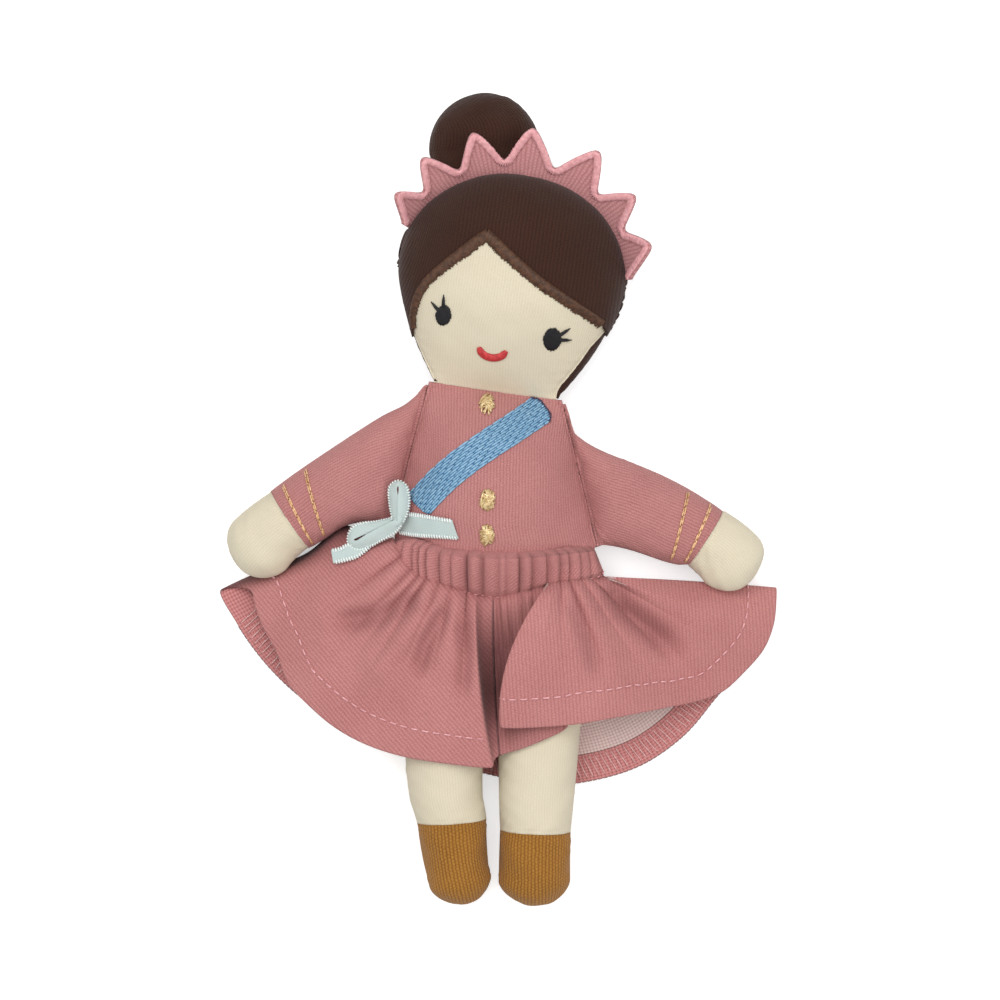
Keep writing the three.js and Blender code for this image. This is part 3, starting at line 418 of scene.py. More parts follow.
# The gold buttons are three knots of metallic thread, stitched over and over through the jacket.
# Each is a heap of short stitches that cross inside an oval.
BUTTONS = ((-1.6, 15.0), (-1.4, -4.0), (-1.6, -11.0))
BUTTON_HALF = (1.7, 2.35)
BUTTON_STITCHES = 34


def threads(start, end, up, radius, lift, rings=6, sides=6):
    """Tubes of thread, one for each row of start and end. The middle of a tube is raised over the cloth by
    lift * sqrt(1 - (2s - 1)^2), and its ends narrow to a point in it. Returns the points and the faces."""
    along = end - start
    side = unit(np.cross(along, up))
    s = (1 - np.cos(np.pi * np.arange(rings) / (rings - 1))) / 2
    arch = np.sqrt(np.clip(1 - (2 * s - 1) ** 2, 0, 1))
    turn = 2 * np.pi * np.arange(sides) / sides
    lift, radius = (np.broadcast_to(value, len(start))[:, None] for value in (lift, radius))
    centre = start[:, None] + along[:, None] * s[None, :, None] + up[:, None] * (lift * arch)[..., None]
    thin = (radius * np.minimum(1.5 * arch, 1.0))[..., None, None]
    ring = side[:, None, None] * np.cos(turn)[None, None, :, None]
    ring = ring + up[:, None, None] * np.sin(turn)[None, None, :, None]
    points = centre[:, :, None] + ring * thin
    faces = grid_faces(rings, sides, True)[None] + (np.arange(len(start)) * rings * sides)[:, None, None]
    return points.reshape(-1, 3), faces.reshape(-1, 4)


def on_cloth(grid, plan):
    """Points of a cloth straight above or below places in plan, and its normals there: from the nearest point
    of its grid, along the plane that touches it."""
    flat, normal = grid.reshape(-1, 3), grid_normals(grid).reshape(-1, 3)
    near = np.concatenate([((some[:, None] - flat[None, :, :2]) ** 2).sum(-1).argmin(1)
                           for some in np.array_split(plan, max(len(plan) // 300, 1))])
    spot, facing = flat[near], normal[near]
    drop = ((plan - spot[:, :2]) * facing[:, :2]).sum(-1) / np.maximum(facing[:, 2], 0.2)
    return np.column_stack([plan, spot[:, 2] - drop]), facing


def thread(name, light, dark, shine=0.5, metal=0.0, rough=0.45):
    """Embroidery thread: two near tones in patches of a few stitches, with the soft gloss of its fibres."""
    material, base = empty_material(name)
    spot = base.add("TexCoord", out="Object")
    tone = base.add("TexNoise", {"noise_dimensions": "3D"}, {"Vector": spot, "Scale": 1400.0, "Detail": 2.0})
    skin = base.add("BsdfPrincipled", sockets={
        "Base Color": tone.clamped(0.3, 0.7).between(dark, light), "Roughness": rough, "Metallic": metal,
        "Specular IOR Level": shine})
    base.add("OutputMaterial", sockets={"Surface": skin})
    return material


button_thread = thread("button_thread", linear(232, 212, 164), linear(178, 142, 88), 0.8, 0.35, 0.38)
chance = np.random.default_rng(4)
for name, centre in zip(("button_top", "button_middle", "button_bottom"), BUTTONS):
    turn = chance.uniform(0, 2 * np.pi, BUTTON_STITCHES)
    reach = chance.uniform(0.75, 1.05, (2, BUTTON_STITCHES, 1))
    bend = chance.normal(0, 0.55, BUTTON_STITCHES)
    away = np.stack([np.cos(turn), np.sin(turn)], -1) * BUTTON_HALF
    back = np.stack([np.cos(turn + np.pi + bend), np.sin(turn + np.pi + bend)], -1) * BUTTON_HALF
    start, up = on_cloth(torso_grids["jacket_front"], np.array(centre) + away * reach[0])
    end, _ = on_cloth(torso_grids["jacket_front"], np.array(centre) + back * reach[1])
    lift = chance.uniform(0.35, 1.15, BUTTON_STITCHES)
    points, faces = threads(start - up * 0.1, end - up * 0.1, up, 0.2, lift, 8)
    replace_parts(new_piece(name, points, faces, "torso", button_thread, "gold_thread"), name)


# The sash is a band of dense blue embroidery from the left shoulder to the right side of the waist: long
# stitches along it, in rows whose ends step aslant, over a thin ground of the same thread, drawn darker as
# painted shade between the stitches. A dark thread binds its rounded upper end.
SASH_LINE = np.array([(9.9, 14.5), (3.8, 10.2), (-1.6, 6.6), (-6.8, 2.9), (-11.2, -0.9), (-15.3, -5.3)])
SASH_HALF = 3.0
SASH_ROWS = 14
SASH_STITCH = 2.7
BLUE = linear(146, 186, 212)
BLUE_DARK = linear(104, 150, 186)
blue_thread = thread("blue_thread", BLUE, BLUE_DARK, 0.5, 0.0, 0.4)


def smooth_line(points, count):
    """Evenly spaced points on a smooth curve through a few: the Catmull-Rom curve with its ends doubled."""
    p = np.concatenate([points[:1], points, points[-1:]])
    s = np.linspace(0, len(points) - 1 - 1e-9, 400)
    k, f = np.floor(s).astype(int), (s % 1)[:, None]
    a, b, c, d = (p[k + j] for j in range(4))
    curve = 0.5 * (2 * b + (c - a) * f + (2 * a - 5 * b + 4 * c - d) * f**2 + (3 * b - a - 3 * c + d) * f**3)
    run = path_length(curve, 0)
    even = np.linspace(0, run[-1], count)
    return at_places(even, run, curve)


sash_path = smooth_line(SASH_LINE, 300)
sash_run = path_length(sash_path, 0)
length = sash_run[-1]
row, reach = np.meshgrid(np.arange(SASH_ROWS), np.arange(-1, int(length / SASH_STITCH) + 2))
row, reach = row.ravel(), reach.ravel()
beside = (row + 0.5) / SASH_ROWS * 2 - 1
inset = 1.5 * beside**4
begin = (reach + (row * 0.37) % 1.0) * SASH_STITCH
finish = np.clip(begin + SASH_STITCH * 1.02, inset, length - inset * 0.5)
begin = np.clip(begin, inset, length - inset * 0.5)
begin, finish, beside = (values[finish - begin > 0.5] for values in (begin, finish, beside))


def on_sash(along, aside):
    """Points of the jacket under the sash, from the distance along it and the share of its half width."""
    way = at_places(along, sash_run, np.gradient(sash_path, axis=0))
    side = unit(np.stack([-way[..., 1], way[..., 0]], -1))
    plan = at_places(along, sash_run, sash_path) + side * (aside * SASH_HALF)[..., None]
    return on_cloth(torso_grids["jacket_front"], plan.reshape(-1, 2))


start, up = on_sash(begin, beside)
end, _ = on_sash(finish, beside)
points, faces = threads(start + up * 0.16, end + up * 0.16, up, 0.235, 0.2, 7)
stitches = new_piece("sash", points, faces, "torso", blue_thread, "blue_thread")
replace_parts(stitches, "sash")
aside = np.linspace(-0.97, 0.97, 16)[None, :]
share = np.linspace(0, 1, 60)[:, None]
inset = 1.5 * aside**4
ground, up = on_sash(inset + (length - inset * 1.5) * share, aside + 0 * share)
ground = (ground + up * 0.16).reshape(60, 16, 3)
# The ground's darker blue is painted shade between the long stitches.
shaded_ground_thread = thread("sash_ground", BLUE_DARK, linear(66, 106, 152), 0.3, 0.0, 0.6)
faces = grid_faces(60, 16)
if grid_normals(ground)[30, 8, 2] < 0:
    faces = faces[:, ::-1]
new_piece("sash_ground", ground, faces, "torso", shaded_ground_thread, "blue_thread")
aside = np.linspace(-1.0, 1.0, 12)
bound, up = on_sash(1.5 * aside**4 - 0.15, aside)
bound = bound + up * 0.35
points, faces = threads(bound[:-1], bound[1:], up[:-1], 0.2, 0.12, 5)
dark_thread = thread("dark_thread", linear(78, 70, 96), linear(50, 44, 66), 0.4)
new_piece("sash_edge", points, faces, "torso", dark_thread, "blue_thread")


# The skirt is one long strip of rose twill, hemmed with a lockstitch, gathered into a casing and joined to a
# ring. Each row gives a line of the cloth from casing to hem: its upper end, its lower end and how far its
# middle lies off the straight line, from the left side over the front. Each half stores a weight for a leg.
SKIRT = np.array([
    (-20.3, -13.4, 8.0, -56.0, -22.5, 0.9, 0, 2.2, -1.5),
    (-20.4, -12.2, 9.6, -54.3, -21.7, 1.6, 0, 2.0, -1),
    (-20.3, -11.6, 11.2, -51.7, -21.6, 3.4, 0, 1, 0),
    (-20.3, -11.4, 12.4, -49.3, -22.4, 5.0, 0, 0, 1.0),
    (-19.8, -12.3, 13.8, -48.4, -25.6, 5.6, 0, 0, 1.0),
    (-19.2, -13.9, 15.2, -46.8, -29.6, 6.2, 0, 0, 1.0),
    (-18.3, -15.8, 16.8, -44.2, -34.2, 7.4, 0, 0, 1.0),
    (-16.9, -18.0, 18.2, -41.5, -40.6, 9.4, 0, 0, 0.6),
    (-15.3, -19.5, 19.0, -37.5, -44.7, 11.4, 0, 0, 0.4),
    (-13.3, -20.5, 19.7, -32.0, -49.1, 13.4, 0, 0, 0),
    (-11.3, -21.2, 20.2, -25.9, -52.3, 15.0, 0, 0, 0),
    (-9.2, -22.0, 20.6, -18.6, -54.6, 16.2, 0, 0, 0),
    (-6.2, -23.0, 20.9, -9.1, -56.1, 16.8, 0, 0, 0),
    (-4.4, -23.6, 21.1, -2.2, -56.8, 17.0, -0.6, 0, 0.4),
    (-3.7, -23.8, 21.0, -0.4, -56.7, 16.6, -1.0, 0, 0.4),
    (-3.2, -24.0, 20.4, -0.2, -55.6, 15.6, -0.9, 0, -1.2),
    (-0.4, -24.1, 20.1, 0.8, -54.7, 14.6, -0.4, 0, -3.0),
    (1.2, -24.0, 20.2, 5.0, -53.3, 14.8, 0, 0, -3.4),
    (5.4, -23.0, 20.1, 9.9, -51.3, 15.0, 0, 0, -2.4),
    (10.2, -22.0, 20.0, 13.9, -49.3, 15.3, 0, 0, -1.2),
    (11.3, -21.8, 20.2, 14.0, -48.5, 15.7, 0, 0, -0.8),
    (11.2, -21.6, 20.5, 7.9, -48.0, 16.1, -1.4, 0, -0.4),
    (10.6, -21.6, 20.9, 1.4, -48.2, 16.7, -3.0, 0, 0.2),
    (10.4, -21.6, 21.2, 1.0, -48.7, 17.2, -3.0, 0, 0.8),
    (10.7, -21.6, 21.3, 2.6, -48.9, 17.5, -2.4, 0, 0.8),
    (11.9, -21.2, 21.2, 9.1, -48.7, 17.6, -0.9, 0, 0.3),
    (13.2, -21.0, 20.8, 16.4, -48.1, 17.4, -0.2, 0, 0),
    (14.7, -20.9, 20.0, 25.4, -46.8, 15.0, 0, 0, 0),
    (16.7, -20.7, 19.0, 33.8, -45.6, 10.4, 0, 0, 0),
    (18.3, -20.3, 17.8, 40.1, -44.7, 6.6, 0, 0, 0.3),
    (19.6, -20.0, 16.4, 44.2, -43.6, 4.8, 0, 0, 0.6),
    (20.4, -19.6, 15.0, 46.5, -42.4, 4.9, 0, 0, 1.0),
    (21.1, -19.3, 13.6, 50.0, -39.1, 5.4, 0, 0, 1.2),
    (21.7, -19.1, 12.4, 54.2, -34.0, 6.4, 0, 0, 1.2),
    (22.1, -19.8, 11.2, 56.1, -28.9, 7.2, 0, 0, 0.4),
    (22.4, -19.5, 10.2, 56.7, -24.1, 6.4, 0, 0.4, -1.2),
    (22.4, -19.3, 9.2, 56.8, -21.7, 5.2, 0, 0.2, -1.8),
    (22.5, -20.2, 8.2, 56.1, -22.4, 2.8, 0, -0.4, -1.6),
    (22.1, -20.3, 7.2, 55.5, -24.6, 1.4, 0, -0.6, -1),
    (21.1, -19.3, 6.4, 53.1, -32.1, 0.9, 0, 0, -1),
    (19.6, -19.7, 5.6, 49.1, -39.2, 0.8, 0, 0, -1),
    (17.6, -20.2, 5.0, 44.8, -44.5, 0.8, 0, 0, -1),
    (15.2, -20.6, 4.6, 38.5, -51.9, 0.8, 0, 0, -1),
    (12.3, -21.0, 4.4, 29.7, -58.0, 0.8, 0, 0, -1),
    (9.1, -21.2, 4.3, 19.3, -61.2, 0.8, 0, 0, -1),
    (5.0, -21.4, 4.2, 9.1, -62.0, 0.8, 0, 0, -1),
    (0.4, -21.4, 4.2, -0.6, -60.0, 0.8, 0, 0, -1),
    (-4.1, -21.2, 4.2, -12.2, -57.0, 0.8, 0, 0, -1),
    (-8.1, -20.8, 4.3, -23.4, -53.3, 0.8, 0, 0, -1),
    (-12.1, -20.2, 4.6, -33.6, -48.4, 0.8, 0, 0, -1),
    (-15.6, -19.1, 5.0, -39.9, -43.9, 0.8, 0, 0, -1),
    (-17.6, -17.7, 5.6, -44.6, -39.6, 0.8, 0, 0, -1),
    (-19.1, -16.1, 6.4, -48.9, -34.6, 0.8, 0, 0, -1),
    (-19.9, -14.7, 7.2, -52.8, -28.8, 0.8, 0, 1, -1),
])
GROOVES = np.array([
    -24.6, -22.4, -20.3, -18.3, -16.3, -14.9, -13.4, -11.0, -8.6, -5.6, -2.4, 0.6, 2.4, 4.9, 7.4, 10.3, 12.9,
    14.6, 17.0, 19.2, 21.4, 23.8])
GROOVE_DEPTHS = np.array([
    0.8, 0.8, 0.85, 0.85, 0.8, 0.95, 0.95, 0.7, 0.6, 1.0, 1.0, 0.65, 0.45, 1.0, 0.8, 0.95, 0.7, 0.9, 0.65,
    0.8, 0.7, 0.8])
GATHER_DEPTH = 2.4
CASING_OUT = 1.5
WAIST_ROUND = 0.75
LEG_MIDDLE = 8.7
LEG_HALF = 8.9
LEG_DEPTH = 6.4
LEG_RISE = 14.0
OVER_LEG = 1.4
TWILL_TURN = {"left": np.radians(42.0), "right": np.radians(4.0)}
SKIRT_THICK = 0.4
CASING_FRONT = np.array([  # place across, height of the upper edge, height of the stitched line
    (-20.4, -11.9, -12.6), (-18.5, -12.0, -16.3), (-16.0, -12.4, -19.4), (-10.2, -14.3, -21.6),
    (0.0, -14.9, -23.6), (5.0, -14.8, -23.0), (11.0, -14.4, -21.2), (17.0, -13.8, -20.4),
    (20.5, -13.7, -19.4), (22.2, -14.0, -18.4),
])
FOLD_ROW = 16
BACK_ROW = 46
FRONT_END = 36
SKIRT_STEP = 0.42
SKIRT_ROWS = 90
HEM_DEPTH = 6.0
BACK_LIFT = 0.62
SPLIT_FADE = 2.0
STILL_FROM, STILL_OVER = 20.0, 24.0
LIFT = ((0, 3, 6, 10, 15, 20, 24), (0, 0.38, 0.62, 0.82, 0.93, 0.98, 1.0))  # from the casing, share of turn


def gather_puff(x):
    """Height of the gathers, from 0 in a groove to about 1, at a place across the front of the waist."""
    phase = np.interp(x, GROOVES, np.arange(len(GROOVES)))
    deep = np.interp(x, GROOVES, GROOVE_DEPTHS)
    return (1 - deep * (1 - np.abs(np.sin(np.pi * phase)) ** 0.5)) * (0.86 + 0.16 * np.sin(x * 1.31))


def casing_height(x, y, offset):
    """Height of the front of the waist at a place in plan, at an offset from the jacket."""
    section = torso_section((neck_y - y) / (neck_y - HIP_Y))
    half = (section["b"][..., 0] - section["a"][..., 0]) / 2
    middle = (section["b"][..., 0] + section["a"][..., 0]) / 2
    return SEAM_Z + (section["front"] + offset) * dome((x - middle) / (half + offset)) ** WAIST_ROUND


def closed_curve(rows, key, count):
    """Points along a closed curve through rows, a few for each span. It is the Catmull-Rom curve whose
    parameter grows with the square root of the distance between the keys and doesn't swing out at folds."""
    n = len(rows)
    gap = np.linalg.norm(np.roll(key, -1, 0) - key, axis=1) ** 0.5
    before, after = np.roll(gap, 1), gap
    rise = (np.roll(rows, -1, 0) - rows) / after[:, None]
    fall = np.roll(rise, 1, 0)
    slope = (fall * after[:, None] + rise * before[:, None]) / (before + after)[:, None]
    s = np.arange(count)[None, :, None] / count
    p0, p1 = rows[:, None], np.roll(rows, -1, 0)[:, None]
    m0, m1 = (slope * gap[:, None])[:, None], (np.roll(slope, -1, 0) * gap[:, None])[:, None]
    curve = ((2 * s**3 - 3 * s**2 + 1) * p0 + (s**3 - 2 * s**2 + s) * m0
             + (3 * s**2 - 2 * s**3) * p1 + (s**3 - s**2) * m1)
    return curve.reshape(n * count, -1)


def corners_of(mesh):
    """The vertices of a mesh, in millimetres."""
    spots = np.zeros(len(mesh.vertices) * 3, np.float32)
    mesh.vertices.foreach_get("co", spots)
    return spots.reshape(-1, 3) / MM


def swing_of(mesh):
    """The swing attribute of each vertex of a mesh of the skirt: a weight for a leg, from 0 to 1."""
    weights = np.zeros(len(mesh.vertices), np.float32)
    mesh.attributes["swing"].data.foreach_get("value", weights)
    return weights


def crease(points, line, depth, width):
    """How far cloth lies below its smooth form along a line in plan: depth * exp(-(distance / width)^2),
    fading out towards both ends of the line."""
    best = np.full(points.shape[:-1], 1e9)
    place = np.zeros(points.shape[:-1])
    line = np.array(line, float)
    for number, (p, q) in enumerate(zip(line[:-1], line[1:])):
        way = q - p
        share = np.clip(((points[..., :2] - p) @ way) / (way @ way), 0, 1)
        distance = np.linalg.norm(points[..., :2] - p - share[..., None] * way, axis=-1)
        nearer = distance < best
        best, place = np.where(nearer, distance, best), np.where(nearer, number + share, place)
    share = place / (len(line) - 1)
    fade = np.clip(share * 4 + 0.4, 0, 1) * np.clip((1 - share) * 4, 0, 1)
    return -depth * np.exp(-((best / width) ** 2)) * fade


spans = 40
dense = closed_curve(SKIRT, SKIRT[:, 3:6], spans)
stations = np.repeat(np.arange(len(SKIRT)), spans) + np.tile(np.arange(spans) / spans, len(SKIRT))
dense = np.concatenate([dense, dense[:1]])
hem_run = path_length(dense[:, 3:6], 0)
columns = int(hem_run[-1] / SKIRT_STEP)
even = np.linspace(0, hem_run[-1], columns + 1)
lines = at_places(even, hem_run, dense)
station = np.interp(even, hem_run, np.append(stations, len(SKIRT)))
drop = np.linspace(0, 1, SKIRT_ROWS)[:, None]
upper, lower, middle = lines[None, :, 0:3], lines[None, :, 3:6], lines[None, :, 6:9]
front = ((station < FRONT_END + 0.5) & (station > 2.0))[None, :]
upper[..., 1] += np.interp(station, [4, 7, 28, 31], [0, 1.2, 1.2, 0])
upper[..., 2] = np.where(front, casing_height(upper[..., 0], upper[..., 1], CASING_OUT - 1.0), upper[..., 2])
layer = np.interp(station, [18.5, 20, 21.5, 23, 25, 28], [0, 0.25, 0.55, 1.0, 0.8, 0])
raised = smooth_step(np.clip((lower[..., 2] - 1) / 3, 0, 1))
skirt = upper + (lower - upper) * drop[..., None] + middle * (4 * drop * (1 - drop))[..., None]
sunk = 1 - (1 - drop) ** (4.0 - 2.3 * raised)
skirt[..., 2] = (upper[..., 2] + (lower[..., 2] - upper[..., 2]) * sunk
                 + (middle[..., 2] + raised) * 4 * drop * (1 - drop))
from_casing = drop * np.linalg.norm(lower - upper, axis=-1)
skirt[..., 2] += np.where(front, 1.5 * (1 - np.exp(-from_casing / 1.0)) * (1 - drop) + layer * np.clip(
    (from_casing + 0.8) / 3, 0, 1), 0)
beyond = np.interp(station, [0, 1.5, 3.2, 52.5, 53.5, 54], [1, 1, 0, 0, 1, 1])[None]
skirt[..., 1] += beyond * 4.3 * np.exp(-(((skirt[..., 0] + 31.0) / 5.0) ** 2))
below = np.clip(from_casing / 1.6, 0, 1) * ((station > 19) & (station < 25))
gather = gather_puff(upper[..., 0] + 0 * drop) * (1 - below) + gather_puff(11.4) * below
ripple = gather * GATHER_DEPTH * raised * (0.5 + 0.4 * from_casing) * np.exp(-from_casing / 5.2)
# Painted shade: the colour darkens in the gather grooves under the casing, in the deep pleat beside the
# middle of the front, along the creases and on the back layer that shows at each wing's end.
painted_shade = (1 - gather) ** 3 * np.exp(-from_casing / 4.0) * raised * 0.7
in_pleat = np.interp(station, [14.0, 14.8, 17.0, 19.0, 20.5], [0, 0.9, 0.8, 0.45, 0])[None]
down_pleat = np.interp(drop, [0, 0.08, 0.35, 0.6, 0.9, 1], [0.1, 0.2, 0.8, 1, 0.5, 0.2])
painted_shade = painted_shade + in_pleat * down_pleat + beyond * 0.8
run_waist = path_length(upper, 1)
soft = np.stack([run_waist + 0 * drop, 0 * run_waist + drop * 14.0], -1)
ripple = ripple + 0.5 * wander(soft, 10.0, 31) * np.sin(np.pi * drop)
for fold, depth, width in (
    ([(-9.6, -24.4), (-13.4, -32.3), (-15.7, -39.6)], 2.2, 1.7),
    ([(-14.6, -23.2), (-23.3, -27.1), (-34.3, -28.5)], 2.4, 2.1),
    ([(-6.6, -27.1), (-5.8, -34.7), (-6.5, -44.0)], 1.5, 1.5),
    ([(-11.5, -25.0), (-20.0, -33.5), (-27.5, -42.0)], -1.4, 2.6),
    ([(22.6, -20.0), (26.0, -25.6), (31.2, -29.8), (38.2, -36.0)], 3.4, 2.3),
    ([(14.6, -23.6), (18.6, -32.0), (20.6, -40.0)], 1.3, 1.7),
):
    lowered = np.where(front, crease(skirt, fold, depth, width), 0)
    ripple = ripple + lowered
    # Painted shade deepens with the depth of each crease.
    painted_shade = painted_shade + np.clip(-lowered * 0.09, 0, 1)
skirt[..., 2] += ripple
painted_shade = np.clip(painted_shade, 0, 0.85)
from_hip = -26.6 - skirt[..., 1]
over_middle = dome((np.abs(skirt[..., 0]) - LEG_MIDDLE) / LEG_HALF) ** ROUND
leg_top = SEAM_Z - from_hip * 0.045 + LEG_DEPTH * swell(from_hip, LEG_RISE) * over_middle
leg_top = leg_top - 1.5 * np.maximum(np.abs(skirt[..., 0]) - 16.5, 0)
skirt[..., 2] = np.where(front, np.maximum(skirt[..., 2], leg_top + OVER_LEG), skirt[..., 2])
hem_edge = np.linalg.norm(lower - upper, axis=-1) * (1 - drop)
back = ~front & (np.abs(skirt[..., 0]) < 60)
skirt[..., 2] = np.where(back, np.maximum(skirt[..., 2], BACK_LIFT), skirt[..., 2])
in_right = (station > FOLD_ROW) & (station < BACK_ROW)
turning = np.where(in_right, TWILL_TURN["right"], TWILL_TURN["left"])[None, :]
weave = np.stack([skirt[..., 0] * np.cos(turning) + skirt[..., 1] * np.sin(turning),
                  skirt[..., 1] * np.cos(turning) - skirt[..., 0] * np.sin(turning)], -1)

skirt_cloth = cloth("skirt_twill", linear(207, 144, 140), linear(143, 84, 84), 0.72, 0.07, contrast=0.4)
inner_cloth, base = empty_material("skirt_inside")
to_hem = base.add("Attribute", {"attribute_name": "to_hem"}, out="Fac")
run_hem = base.add("Attribute", {"attribute_name": "run_hem"}, out="Fac")
grid_lines = ((to_hem * (np.pi / 0.62)).sine().math("ABSOLUTE") * 0.5
              + (run_hem * (np.pi / 0.78)).sine().math("ABSOLUTE") * 0.5)
in_band = (HEM_DEPTH - 0.4 - to_hem).clamped(-0.1, 0.1)
pale = grid_lines.clamped(0.1, 0.9).between(linear(186, 152, 148), linear(226, 202, 196))
turned_up = grid_lines.clamped(0.1, 0.9).between(linear(160, 94, 94), linear(206, 140, 137))
bump = base.add("Bump", sockets={"Strength": 1.0, "Distance": 0.1 * MM, "Height": grid_lines + in_band * 3.0})
skin = base.add("BsdfPrincipled", sockets={
    "Base Color": in_band.between(pale, turned_up), "Roughness": 0.9, "Normal": bump,
    "Specular IOR Level": 0.2})
base.add("OutputMaterial", sockets={"Surface": skin})

fold_column, back_column = (int(np.argmin(np.abs(station - row))) for row in (FOLD_ROW, BACK_ROW))
left_columns = np.concatenate([np.arange(back_column, columns), np.arange(0, fold_column + 1)])
right_columns = np.arange(fold_column, back_column + 1)
for side, chosen in (("left", left_columns), ("right", right_columns)):
    part = skirt[:, chosen]
    over_leg = np.where(front[0, chosen], swell(np.abs(even[chosen] - even[fold_column]), SPLIT_FADE), 0.0)
    outside = smooth_step(np.clip((np.abs(part[..., 0]) - STILL_FROM) / STILL_OVER, 0, 1))
    swing = over_leg * (1 - outside) * np.interp(from_casing[:, chosen], *LIFT)
    marks = {"to_hem": hem_edge[:, chosen], "run_hem": np.broadcast_to(even[chosen], part.shape[:2]),
             "swing": swing, "painted_shade": painted_shade[:, chosen]}
    piece = new_piece(f"skirt_{side}", part, grid_faces(*part.shape[:2]), None, skirt_cloth, "rose_cloth",
                      weave[:, chosen], marks)
    wall = thick(piece, SKIRT_THICK, inner_cloth).modifiers["cloth"]
    wall.thickness_clamp = 0.9
    if side == "left":
        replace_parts(piece, "skirt_panel")
    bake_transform(piece)
    swing_of(piece.data)


# The waist is a casing of the same twill with the elastic inside, drawn up into gathers. A pale line of
# stitches along its lower edge closes it. The gathers are deepest in the middle of the band.
WAIST_HALF = 21.6
CASING_BACK = (-14.0, -20.6)
CASING_THICK = 0.35
STITCHED = 0.965  # place of the stitches, as a share of the casing's height
WAIST_STITCH = (1.7, 0.75, 0.13, 0.1)  # of a stitch: pitch, gap, radius, lift
HEM_STITCH = (2.2, 0.6, 0.17, 0.12)
u = np.linspace(0, 2 * np.pi, 601)
across = -np.cos(u)
rough_x = across * WAIST_HALF
is_front = np.sin(u) >= 0
at_side = np.abs(across) ** 6
casing_top = np.where(is_front, np.interp(rough_x, CASING_FRONT[:, 0], CASING_FRONT[:, 1]), CASING_BACK[0])
casing_low = np.where(is_front, np.interp(rough_x, CASING_FRONT[:, 0], CASING_FRONT[:, 2]),
                      CASING_BACK[1] + at_side * 2.5)
smooth = np.hanning(31) / np.hanning(31).sum()
casing_top, casing_low = (np.convolve(np.concatenate([v[-16:-1], v, v[1:16]]), smooth, "valid")
                          for v in (casing_top, casing_low))
share = np.array([-0.1, -0.07, -0.04, 0.0, 0.05, *np.linspace(0.1, 0.9, 16), 0.93, 0.95, STITCHED, 0.98,
                  1.02, 1.06, 1.1])[:, None]
y = casing_top + (casing_low - casing_top) * share
t = (neck_y - y) / (neck_y - HIP_Y)
rings = torso_section(t.ravel())
ends_a, ends_b = (rings[end].reshape(*y.shape, 2) for end in "ab")
depth_front, depth_back = (rings[face].reshape(y.shape) for face in ("front", "back"))
puff = gather_puff(rough_x)
height = np.interp(share[:, 0], [-0.1, 0.0, 0.1, 0.45, 0.85, STITCHED, 1.0, 1.1],
                   [0.0, 0.4, 0.8, 1.0, 0.95, 0.65, 0.5, 0.4])[:, None]
depth_of_fold = np.where(is_front, 1.0, 0.4) * GATHER_DEPTH
offset = CASING_OUT - 0.7 + height * 0.3 + puff * depth_of_fold * height
offset = offset - np.interp(share[:, 0], [1.0, 1.06, 1.1], [0, 0.7, 1.5])[:, None]
offset = offset * (1 - at_side) + (0.1 + 2.0 * np.clip(share, 0, 1)) * at_side
offset = offset - np.interp(share[:, 0], [-0.1, -0.04, 0.06], [1.4, 0.45, 0.0])[:, None]
x = (ends_a[..., 0] * (1 - across) + ends_b[..., 0] * (1 + across)) / 2 + across * offset
depth = np.where(is_front, depth_front + offset, -depth_back - offset)
z = np.maximum(SEAM_Z + depth * dome(across) ** WAIST_ROUND, 0.3)
y = y + 0.35 * (puff - 0.5) * np.clip(1 - share * 4, 0, 1)
casing = np.stack([x, y, z], -1)
across_run, along = both_lengths(casing)
weave = np.stack([(across_run + along) * 0.7071, (across_run - along) * 0.7071], -1)
# The colour darkens in the gather grooves of the front: painted shade.
piece = new_piece("waist_casing", casing, grid_faces(*casing.shape[:2]), "torso", skirt_cloth, "rose_cloth",
                  weave, {"painted_shade": np.where(is_front, np.clip(1 - puff, 0, 1) ** 2.5, 0) * height * 0.95})
thick(piece, CASING_THICK)
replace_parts(piece, "skirt_waistband", "waist_elastic")

pink_thread = thread("pink_thread", linear(238, 184, 186), linear(214, 146, 152), 0.4)
skirt_thread = thread("skirt_thread", linear(222, 158, 158), linear(190, 122, 124), 0.4)


def stitch_line(path, up, pitch, gap, radius, lift):
    """A line of machine stitches on a path of points, with the cloth's normals: each stitch is a thread of
    the pitch less the gap."""
    run = path_length(path, 0)
    starts = np.arange(pitch / 2, run[-1] - pitch, pitch)
    ends = [at_places(place, run, path) for place in (starts, starts + pitch - gap)]
    return threads(*ends, unit(at_places(starts, run, up)), radius, lift, 5, 5)


def joined(parts):
    """The points and faces of several sets of threads as one."""
    shift = np.cumsum([0] + [len(points) for points, _ in parts])
    return (np.concatenate([points for points, _ in parts]),
            np.concatenate([faces + by for (_, faces), by in zip(parts, shift)]))


row = int(np.argmin(np.abs(share[:, 0] - STITCHED)))
up = grid_normals(casing)[row]
points, faces = stitch_line(casing[row] + up * 0.1, up, *WAIST_STITCH)
new_piece("waist_stitches", points, faces, "torso", skirt_thread, "satin_thread")

skirt_up = grid_normals(skirt)
row_of = np.argmin(np.abs(hem_edge - HEM_DEPTH), axis=0)
for side, chosen in (("left", left_columns), ("right", right_columns)):
    chosen = chosen[(station[chosen] < 14.2) | (station[chosen] > 16.4)]
    path, up = skirt[row_of[chosen], chosen], skirt_up[row_of[chosen], chosen]
    points, faces = stitch_line(path + up * 0.12, up, *HEM_STITCH)
    piece = new_piece(f"hem_stitches_{side}", points, faces, None, pink_thread, "satin_thread")
    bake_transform(piece)
    vertex, sheet = corners_of(piece.data), bpy.data.objects[f"skirt_{side}"].data
    spots = corners_of(sheet)
    near = np.concatenate([((some[:, None] - spots[None]) ** 2).sum(-1).argmin(1)
                           for some in np.array_split(vertex, len(vertex) // 60)])
    swing_of(sheet)[near]


